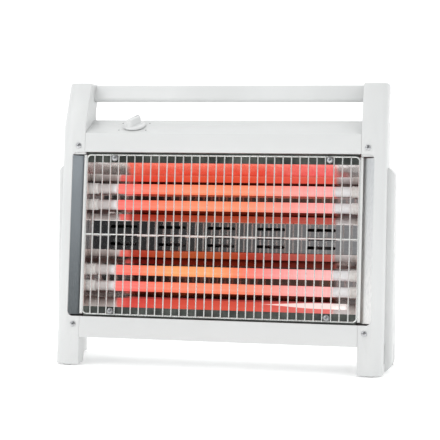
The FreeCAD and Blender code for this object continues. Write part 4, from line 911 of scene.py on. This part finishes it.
def make_grille():
    """Upright wires, middle wire and rim, with a bead at every crossing."""
    half, low, high, corner, overhang = 205.0, 77.8, 317.02, 6.0, 1.6
    pitch, count, middle = looks().wire_pitch / MM, looks().wire_count, 197.415
    wire_depth, rim_depth = 5.65, 7.65
    lean = Matrix.Rotation(-LEAN, 4, "X")
    uprights = new_piece("grille_upright_wires", bpy.data.meshes.new("upright_wires"))
    tree_of(wire_tree).run(uprights, Count=count, Pitch=pitch * MM, Length=(high - low + overhang) * MM,
                           Radius=looks().wire_diameter / 2, Finish=finish_of("chrome_wire"))
    uprights.data.transform(Matrix.Translation(leaning(0, wire_depth, (low + high) / 2)) @ lean)
    settle(uprights, "chrome_wire", "grille")

    def rim(cage):
        path = [leaning(x, rim_depth, height) for x, height in rounded_loop(half, low, high, corner, 8)]
        tube_round(cage, path, looks().rim_diameter / 2, 16, True)
        across = [leaning(x, rim_depth, middle) for x in (-half, half)]
        tube_round(cage, across, looks().middle_diameter / 2, 16, False)
    frame_wires = new_piece("grille_rim_and_middle", soften(mesh_from(rim), 60.0), "chrome_wire")
    settle(frame_wires, "chrome_wire")
    spots = []
    for index in range(count):
        x = (index - (count - 1) / 2) * pitch
        for height in (low, middle, high):
            spots.append((leaning(x, (wire_depth + rim_depth) / 2, height), Matrix.Rotation(-LEAN, 3, "X")))
    settle(repeat_on("grille_welds", spots, weld_bead(), "chrome_wire"), "chrome_wire")


# ---------------------------------------------------------------- lamps

def coil_tree():
    """A wound wire along X, from a spiral turned on its side."""
    tree = Repeater("wound_wire", [("Turns", "Float"), ("Radius", "Float"), ("Length", "Float"),
                                   ("Wire", "Float"), ("Finish", "Material")])
    spiral = tree.node("GeometryNodeCurveSpiral", {}, {
        "Resolution": 14, "Rotations": tree.given("Turns"), "Start Radius": tree.given("Radius"),
        "End Radius": tree.given("Radius"), "Height": tree.given("Length")})
    ring = tree.node("GeometryNodeCurvePrimitiveCircle", {"mode": "RADIUS"},
                     {"Resolution": 5, "Radius": tree.given("Wire")})
    wound = tree.node("GeometryNodeCurveToMesh", {},
                      {"Curve": spiral, "Profile Curve": ring, "Fill Caps": True})
    tree.close(tree.node("GeometryNodeSetShadeSmooth", {"domain": "FACE"}, {"Geometry": wound}))
    return tree


def make_lamps():
    """Windings, quartz tubes and ceramic caps."""
    finishes = ["quartz_high", "quartz_high", "quartz_hot", "quartz_low"]
    span, winding_radius, cap_mouth = 334.0 * MM, 4.1 * MM, 193.0 * MM
    outer = looks().tube_diameter / 2
    inner = outer - 1.2 * MM
    on_side = Matrix.Rotation(math.pi / 2, 4, "Y")
    cap_spots = []
    for number, finish in enumerate(finishes, 1):
        node = "quartz_tube_%d" % number
        centre = middle_of(node)
        low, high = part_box(node)
        reach = (high.x - low.x) / 2

        def glass(cage):
            profile = [(inner, -reach), (outer - 0.3 * MM, -reach), (outer, -reach + 0.4 * MM)]
            profile += [(outer, step / 24 * (reach - 0.5 * MM)) for step in range(-24, 25)]
            profile += [(outer, reach - 0.4 * MM), (outer - 0.3 * MM, reach), (inner, reach)]
            profile += [(inner, step / 6 * reach) for step in range(5, -7, -1)]
            lathe(cage, profile, 40, centre, on_side.to_3x3())
            bmesh.ops.remove_doubles(cage, verts=cage.verts, dist=MERGE / 4)
        settle(new_piece(node + "_glass", soften(mesh_from(glass), 50.0), finish), "quartz", node)
        winding = new_piece("heating_coil_%d_winding" % number, bpy.data.meshes.new("winding"))
        tree_of(coil_tree).run(winding, Turns=looks().winding_turns, Radius=winding_radius, Length=span,
                               Wire=looks().winding_wire / 2, Finish=finish_of("glowing_wire"))
        winding.data.transform(Matrix.Translation(centre - Vector((span / 2, 0, 0))) @ on_side)
        settle(winding, "glowing_wire", "heating_coil_%d" % number)
        for side in (-1, 1):
            way = Matrix.Rotation(side * math.pi / 2, 3, "Y")
            cap_spots.append((centre + Vector((side * cap_mouth, 0, 0)), way))

    def cap(cage):
        body = [(7.7, -0.01), (8.1, 0.0), (8.5, 0.4), (8.5, 3.0), (8.2, 3.4), (8.2, 5.2), (8.5, 5.6),
                (8.5, 18.5), (8.0, 19.0), (6.3, 19.0), (6.0, 19.3), (6.0, 28.4), (5.4, 29.0), (2.0, 29.0),
                (2.0, 12.0), (0.0, 12.0)]
        bore = [(7.7, -0.01), (7.6, 0.0), (7.6, 10.0), (0.0, 10.0)]
        for profile in (body, bore):
            lathe(cage, in_metres(profile), 36)
        bmesh.ops.remove_doubles(cage, verts=cage.verts, dist=MERGE / 4)
    nodes = ["ceramic_cap_%s_%d" % (side, number) for side in ("left", "right") for number in (1, 2, 3, 4)]
    caps = repeat_on("ceramic_caps", cap_spots, soften(mesh_from(cap), 30.0), "ceramic")
    settle(caps, "ceramic", *nodes)


# ---------------------------------------------------------------- casing

SOFTENED = [
    ("side_frame_left", "white_moulding", 0.5), ("side_frame_right", "white_moulding", 0.5),
    ("side_cover_left", "white_moulding", 0.4), ("side_cover_right", "white_moulding", 0.4),
    ("handle_bar", "white_moulding", 0.3), ("top_cover", "white_sheet", 0.18),
    ("base_pan", "white_sheet", 0.18), ("rear_cover", "white_sheet", 0.15),
]


def make_casing():
    """Mouldings and painted sheets, with their edges eased by so many mm."""
    for node, finish, ease in SOFTENED:
        piece = new_piece(node + "_skin", merged_copy(node), finish)
        bevel = piece.modifiers.new("ease", "BEVEL")
        bevel.width = ease * MM
        bevel.segments = 2
        bevel.limit_method = "ANGLE"
        bevel.angle_limit = math.radians(38.0)
        bake(piece)
        soften(piece.data, 30.0)
        settle(piece, finish, node)


def louvre_hood():
    """A pressed hood whose lower edge is open; its slot is at the origin and it stands out along Y."""
    half, rise, top, drop = 23.6 * MM, looks().louvre_rise, 4.2 * MM, 6.4 * MM
    sheet, proud, bands, columns = 0.45 * MM, 0.05 * MM, 6, 12

    def build(cage):
        rows = []
        for step in range(bands + 1):
            turn = math.pi / 2 * step / bands
            row = []
            for across in range(columns + 1):
                x = -1.0 + 2.0 * across / columns
                bulge = math.sin(math.pi / 2 * min(1.0, (1.0 - abs(x)) * 5.0))
                out = rise * math.sin(turn) * bulge + proud
                row.append(cage.verts.new((x * half, out, top - drop * (1 - math.cos(turn)))))
            rows.append(row)
        for one, two in zip(rows, rows[1:]):
            for index in range(columns):
                cage.faces.new((one[index], one[index + 1], two[index + 1], two[index]))
        bmesh.ops.recalc_face_normals(cage, faces=cage.faces)
        bmesh.ops.solidify(cage, geom=cage.faces[:], thickness=sheet)
    return soften(mesh_from(build), 40.0)


def make_louvres():
    """A hood over every slot of the rear cover."""
    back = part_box("rear_cover")[1].y - 0.1 * MM
    lowest, row_pitch, column_pitch, count = (104.6, 273.2), 13.0, 60.0, 6
    spots = []
    for first in lowest:
        for row in range(count):
            for column in range(count):
                across = (column - (count - 1) / 2) * column_pitch * MM
                place = Vector((across, back, (first + row_pitch * row) * MM))
                spots.append((place, Matrix.Identity(3)))
    settle(repeat_on("rear_cover_louvres", spots, louvre_hood(), "white_sheet"), "white_sheet")


PAINTED = {
    "rail_upper": "dark_sheet", "rail_lower": "dark_sheet",
    "trim_left": "trim_sheet", "trim_right": "trim_sheet",
    "end_plate_left": "end_sheet", "end_plate_right": "end_sheet",
    "reflector_upper": "trough_sheet", "reflector_lower": "trough_sheet",
    "vent_panel": "mirror_sheet", "heat_shield": "sooted_sheet",
    "lamp_bracket_left": "plain_sheet", "lamp_bracket_right": "plain_sheet",
    "lead_harness_left": "sleeving", "lead_harness_right": "sleeving",
    "selector_switch_body": "switch_plastic", "selector_switch_shaft": "steel_part",
    "selector_switch_nut": "brass_part", "tilt_switch_case": "switch_plastic",
    "tilt_switch_contacts": "switch_plastic", "tilt_pivot_pin": "steel_part",
    "tilt_pendulum": "brass_part", "thermal_cutout": "steel_part",
    "terminal_block": "block_plastic", "cord_gland": "gland_plastic",
}


def paint_solids():
    """Solids whose own shape shows get their finish."""
    for node, finish in PAINTED.items():
        mesh = SOLIDS[node].data
        mesh.materials.clear()
        mesh.materials.append(finish_of(finish))


# ---------------------------------------------------------------- knob and feet

def dial_frame():
    """Centre and rotation of the dial: local Z stands square to the control panel."""
    joint = [item for item in frame["joints"] if item["name"] == "knob_turn"][0]
    return Vector(joint["pos_m"]), Matrix.Rotation(PANEL_SLOPE, 4, "X")


def slot_outline(length, width, steps):
    """Outline of a round-ended bar along Y."""
    points = []
    reach = (length - width) / 2
    for end, start in ((reach, 0.0), (-reach, math.pi)):
        for step in range(steps + 1):
            angle = start + math.pi * step / steps
            points.append((width / 2 * math.cos(angle), end + width / 2 * math.sin(angle)))
    return points


def make_knob():
    """Skirted knob with a crowned grip and an index line on it."""
    centre, tilt = dial_frame()
    turned = Matrix.Translation(centre) @ tilt @ Matrix.Rotation(looks().knob_turn, 4, "Z")

    def row_of(cage, height, length, width, steps, off=0.0):
        outline = slot_outline(length, width, steps)
        return [cage.verts.new((x * MM, (y + off) * MM, height * MM)) for x, y in outline]

    def body(cage):
        radius = 17.0
        profile = [(0.0, 3.4), (9.2, 3.4), (9.2, 0.9), (9.6, 0.8), (radius - 0.8, 0.8), (radius - 0.1, 1.3),
                   (radius, 1.9), (radius - 0.15, 3.2), (radius - 0.9, 4.2), (radius - 2.4, 4.75), (0.0, 5.3)]
        lathe(cage, in_metres(profile), 72)
        grip = [(4.6, 1.4), (5.6, 0.55), (7.0, 0.1), (12.6, -0.15), (14.0, -0.6), (14.8, -1.6)]
        rows = [row_of(cage, height, 27.5 + grow * 2, 9.4 + grow * 2, 10) for height, grow in grip]
        rows.append(row_of(cage, 15.0, 21.5, 3.6, 10))
        skin(cage, rows)
        cage.transform(turned)

    def index_line(cage):
        skin(cage, [row_of(cage, height, 7.5, 1.0, 6, 8.2) for height in (14.9, 15.08)])
        cage.transform(turned)
    knob = new_piece("selector_knob_skin", soften(mesh_from(body), 40.0), "white_knob")
    settle(knob, "white_knob", "selector_knob", body="knob")
    settle(new_piece("selector_knob_index", mesh_from(index_line), "mark"), "white_knob", body="knob")


def make_dial_marks():
    """Small round marks about the knob."""
    centre, tilt = dial_frame()
    turn = tilt.to_3x3()
    across, along, proud = 21.0 * MM, 13.5 * MM, 0.06 * MM
    dot = in_metres([(0, 0.05), (1.1, 0.05), (1.2, 0), (0, 0)])

    def marks(cage):
        for side in (-across, across):
            for row in (-along, along):
                lathe(cage, dot, 20, centre + turn @ Vector((side, row, proud)), turn)
    settle(new_piece("dial_marks", mesh_from(marks), "mark"), "white_sheet")


def make_feet():
    """Ribbed rubber pads."""
    profile = in_metres([(0, 0.5), (2.0, 0.5), (2.2, 0.0), (3.2, 0.0), (3.4, 0.5), (4.6, 0.5),
                         (4.8, 0.0), (6.4, 0.0), (7.0, 0.5), (7.0, 2.0), (6.8, 2.2), (0, 2.2)])
    pad = mesh_from(lambda cage: lathe(cage, profile, 40))
    spots = []
    for points in islands("rubber_feet"):
        low, high = box_of(points)
        spots.append((Vector(((low.x + high.x) / 2, (low.y + high.y) / 2, low.z)), Matrix.Identity(3)))
    feet = repeat_on("rubber_feet_pads", spots, soften(pad, 30.0), "pale_rubber")
    settle(feet, "pale_rubber", "rubber_feet")


# ---------------------------------------------------------------- stage

def make_stage():
    """Pale sweep, soft lights and the camera."""
    scene = bpy.context.scene
    scene.view_settings.view_transform = "Standard"
    start, bend, reach, steps = 1.9, 1.2, 5.0, 12
    angles = [math.pi / 2 * step / steps for step in range(steps + 1)]
    sweep = [(start + bend * math.sin(angle), bend - bend * math.cos(angle)) for angle in angles]
    rows = [(-reach, 0.0), (0.0, 0.0)] + sweep + [(start + bend, reach)]

    def build(cage):
        strips = [[cage.verts.new((x, y, z)) for x in (-6.0, 6.0)] for y, z in rows]
        for one, two in zip(strips, strips[1:]):
            cage.faces.new((one[0], one[1], two[1], two[0]))
    floor = new_piece("stage_floor", mesh_from(build))
    if floor.data.polygons[0].normal.z < 0:
        floor.data.flip_normals()
    soften(floor.data, 60.0)
    paint = Paint("stage_paper", strength=0.22, specular=0.0)
    fibre = paint.noise(6.0, 3.0)
    tone = paint.mix(fibre, (0.93, 0.93, 0.93), (0.96, 0.96, 0.96))
    floor.data.materials.append(paint.feed(base_color=tone, emission_color=(1.0, 1.0, 1.0), roughness=0.9))
    make_world()
    add_area("key_light", (-1.6, -1.9, 2.1), 1.6, 15.0)
    add_area("fill_light", (1.9, -1.4, 1.5), 1.2, 5.0)
    add_area("top_light", (0.0, 0.3, 2.6), 2.2, 9.0)
    camera = bpy.data.objects.new("camera", bpy.data.cameras.new("camera"))
    scene.collection.objects.link(camera)
    camera.data.sensor_width = 36.0
    camera.data.lens = 99.63
    place = Vector((0.33576, -1.81369, 0.28507))
    yaw, pitch, roll = (math.radians(angle) for angle in (10.727, -2.057, 0.682))
    forward = Vector((-math.sin(yaw) * math.cos(pitch), math.cos(yaw) * math.cos(pitch), math.sin(pitch)))
    level = forward.cross(Vector((0, 0, 1))).normalized()
    upright = level.cross(forward)
    right = level * math.cos(roll) + upright * math.sin(roll)
    above = upright * math.cos(roll) - level * math.sin(roll)
    turn = Matrix((right, above, -forward)).transposed()
    camera.matrix_world = Matrix.Translation(place) @ turn.to_4x4()
    scene.camera = camera


def make_world():
    """An even bright room; mirrors see a dark front, a bright left side and a dim right side."""
    world = bpy.data.worlds.new("studio")
    bpy.context.scene.world = world
    world.use_nodes = True
    room = Tree(world.node_tree)
    place = room.node("ShaderNodeTexCoord", output="Generated")
    sides = [room.node("ShaderNodeSeparateXYZ", {}, [place], axis) for axis in (0, 1)]
    turn = room.node("ShaderNodeMath", {"operation": "ARCTAN2"}, sides)
    span = room.node("ShaderNodeMapRange", {}, {"Value": turn, "From Min": -math.pi, "From Max": math.pi})
    greys = [(0.0, 0.34), (0.012, 0.26), (0.024, 0.11), (0.036, 0.03), (0.07, 0.03), (0.15, 0.75),
             (0.30, 1.0), (0.52, 0.9), (0.72, 0.55), (0.84, 0.30), (0.93, 0.10), (1.0, 0.34)]
    mirror = room.ramp(span, [(at, (tone, tone, tone * 1.03)) for at, tone in greys])
    inside = room.mix(room.node("ShaderNodeLightPath", output="Is Glossy Ray"), (0.93, 0.94, 0.94), mirror)
    seen = room.mix(room.node("ShaderNodeLightPath", output="Is Camera Ray"), inside, (1.05, 1.05, 1.05))
    room.tree.links.new(seen.socket, room.tree.nodes["Background"].inputs["Color"])


def add_area(name, place, size, power):
    """A square light that faces the heater."""
    light = bpy.data.lights.new(name, "AREA")
    light.shape = "SQUARE"
    light.size = size
    light.energy = power
    lamp = bpy.data.objects.new(name, light)
    bpy.context.scene.collection.objects.link(lamp)
    aim = Vector((0, 0, 0.2)) - Vector(place)
    lamp.matrix_world = Matrix.Translation(place) @ aim.to_track_quat("-Z", "Y").to_matrix().to_4x4()


# ---------------------------------------------------------------- operators

class HEATER_OT_solids(bpy.types.Operator):
    """Give the solids whose own shape shows their finishes"""
    bl_idname = "heater.solids"
    bl_label = "Finish inner pieces"

    def execute(self, context):
        paint_solids()
        return {"FINISHED"}


class HEATER_OT_casing(bpy.types.Operator):
    """Build the eased mouldings, painted sheets and handle bar"""
    bl_idname = "heater.casing"
    bl_label = "Casing and handle"

    def execute(self, context):
        make_casing()
        return {"FINISHED"}


class HEATER_OT_louvres(bpy.types.Operator):
    """Press a hood over every slot of the rear cover"""
    bl_idname = "heater.louvres"
    bl_label = "Rear louvres"

    def execute(self, context):
        make_louvres()
        return {"FINISHED"}


class HEATER_OT_screws(bpy.types.Operator):
    """Set a cross-recessed head on every screw"""
    bl_idname = "heater.screws"
    bl_label = "Screws"

    def execute(self, context):
        make_screws()
        return {"FINISHED"}


class HEATER_OT_grille(bpy.types.Operator):
    """Build the grille's wires and the beads of weld where they cross"""
    bl_idname = "heater.grille"
    bl_label = "Grille"

    def execute(self, context):
        make_grille()
        return {"FINISHED"}


class HEATER_OT_lamps(bpy.types.Operator):
    """Build the quartz tubes, their windings and their ceramic caps"""
    bl_idname = "heater.lamps"
    bl_label = "Quartz lamps"

    def execute(self, context):
        make_lamps()
        return {"FINISHED"}


class HEATER_OT_knob(bpy.types.Operator):
    """Build the selector knob and the dial's marks"""
    bl_idname = "heater.knob"
    bl_label = "Selector knob"

    def execute(self, context):
        make_knob()
        make_dial_marks()
        return {"FINISHED"}


class HEATER_OT_feet(bpy.types.Operator):
    """Build the ribbed rubber feet"""
    bl_idname = "heater.feet"
    bl_label = "Rubber feet"

    def execute(self, context):
        make_feet()
        return {"FINISHED"}


class HEATER_OT_stage(bpy.types.Operator):
    """Set up the floor, the lights and the camera"""
    bl_idname = "heater.stage"
    bl_label = "Stage"

    def execute(self, context):
        make_stage()
        return {"FINISHED"}


OPERATORS = (HEATER_OT_solids, HEATER_OT_casing, HEATER_OT_louvres, HEATER_OT_screws, HEATER_OT_grille,
             HEATER_OT_lamps, HEATER_OT_knob, HEATER_OT_feet, HEATER_OT_stage)


class HEATER_PT_panel(bpy.types.Panel):
    """Lists the sizes, the colours and the steps of the build"""
    bl_label = "Quartz heater"
    bl_idname = "HEATER_PT_panel"
    bl_space_type = "VIEW_3D"
    bl_region_type = "UI"
    bl_category = "Heater"

    def draw(self, context):
        column = self.layout.column()
        for name in HeaterLooks.__annotations__:
            column.prop(context.scene.heater_looks, name)
        for operator in OPERATORS:
            column.operator(operator.bl_idname)


CLASSES = (HeaterLooks, HEATER_PT_panel) + OPERATORS


def register():
    for item in CLASSES:
        bpy.utils.register_class(item)
    bpy.types.Scene.heater_looks = bpy.props.PointerProperty(type=HeaterLooks)


def unregister():
    del bpy.types.Scene.heater_looks
    for item in reversed(CLASSES):
        bpy.utils.unregister_class(item)


def main():
    """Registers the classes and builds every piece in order."""
    register()
    for operator in OPERATORS:
        group, name = operator.bl_idname.split(".")
        getattr(getattr(bpy.ops, group), name)()


if __name__ == "__main__":
    main()
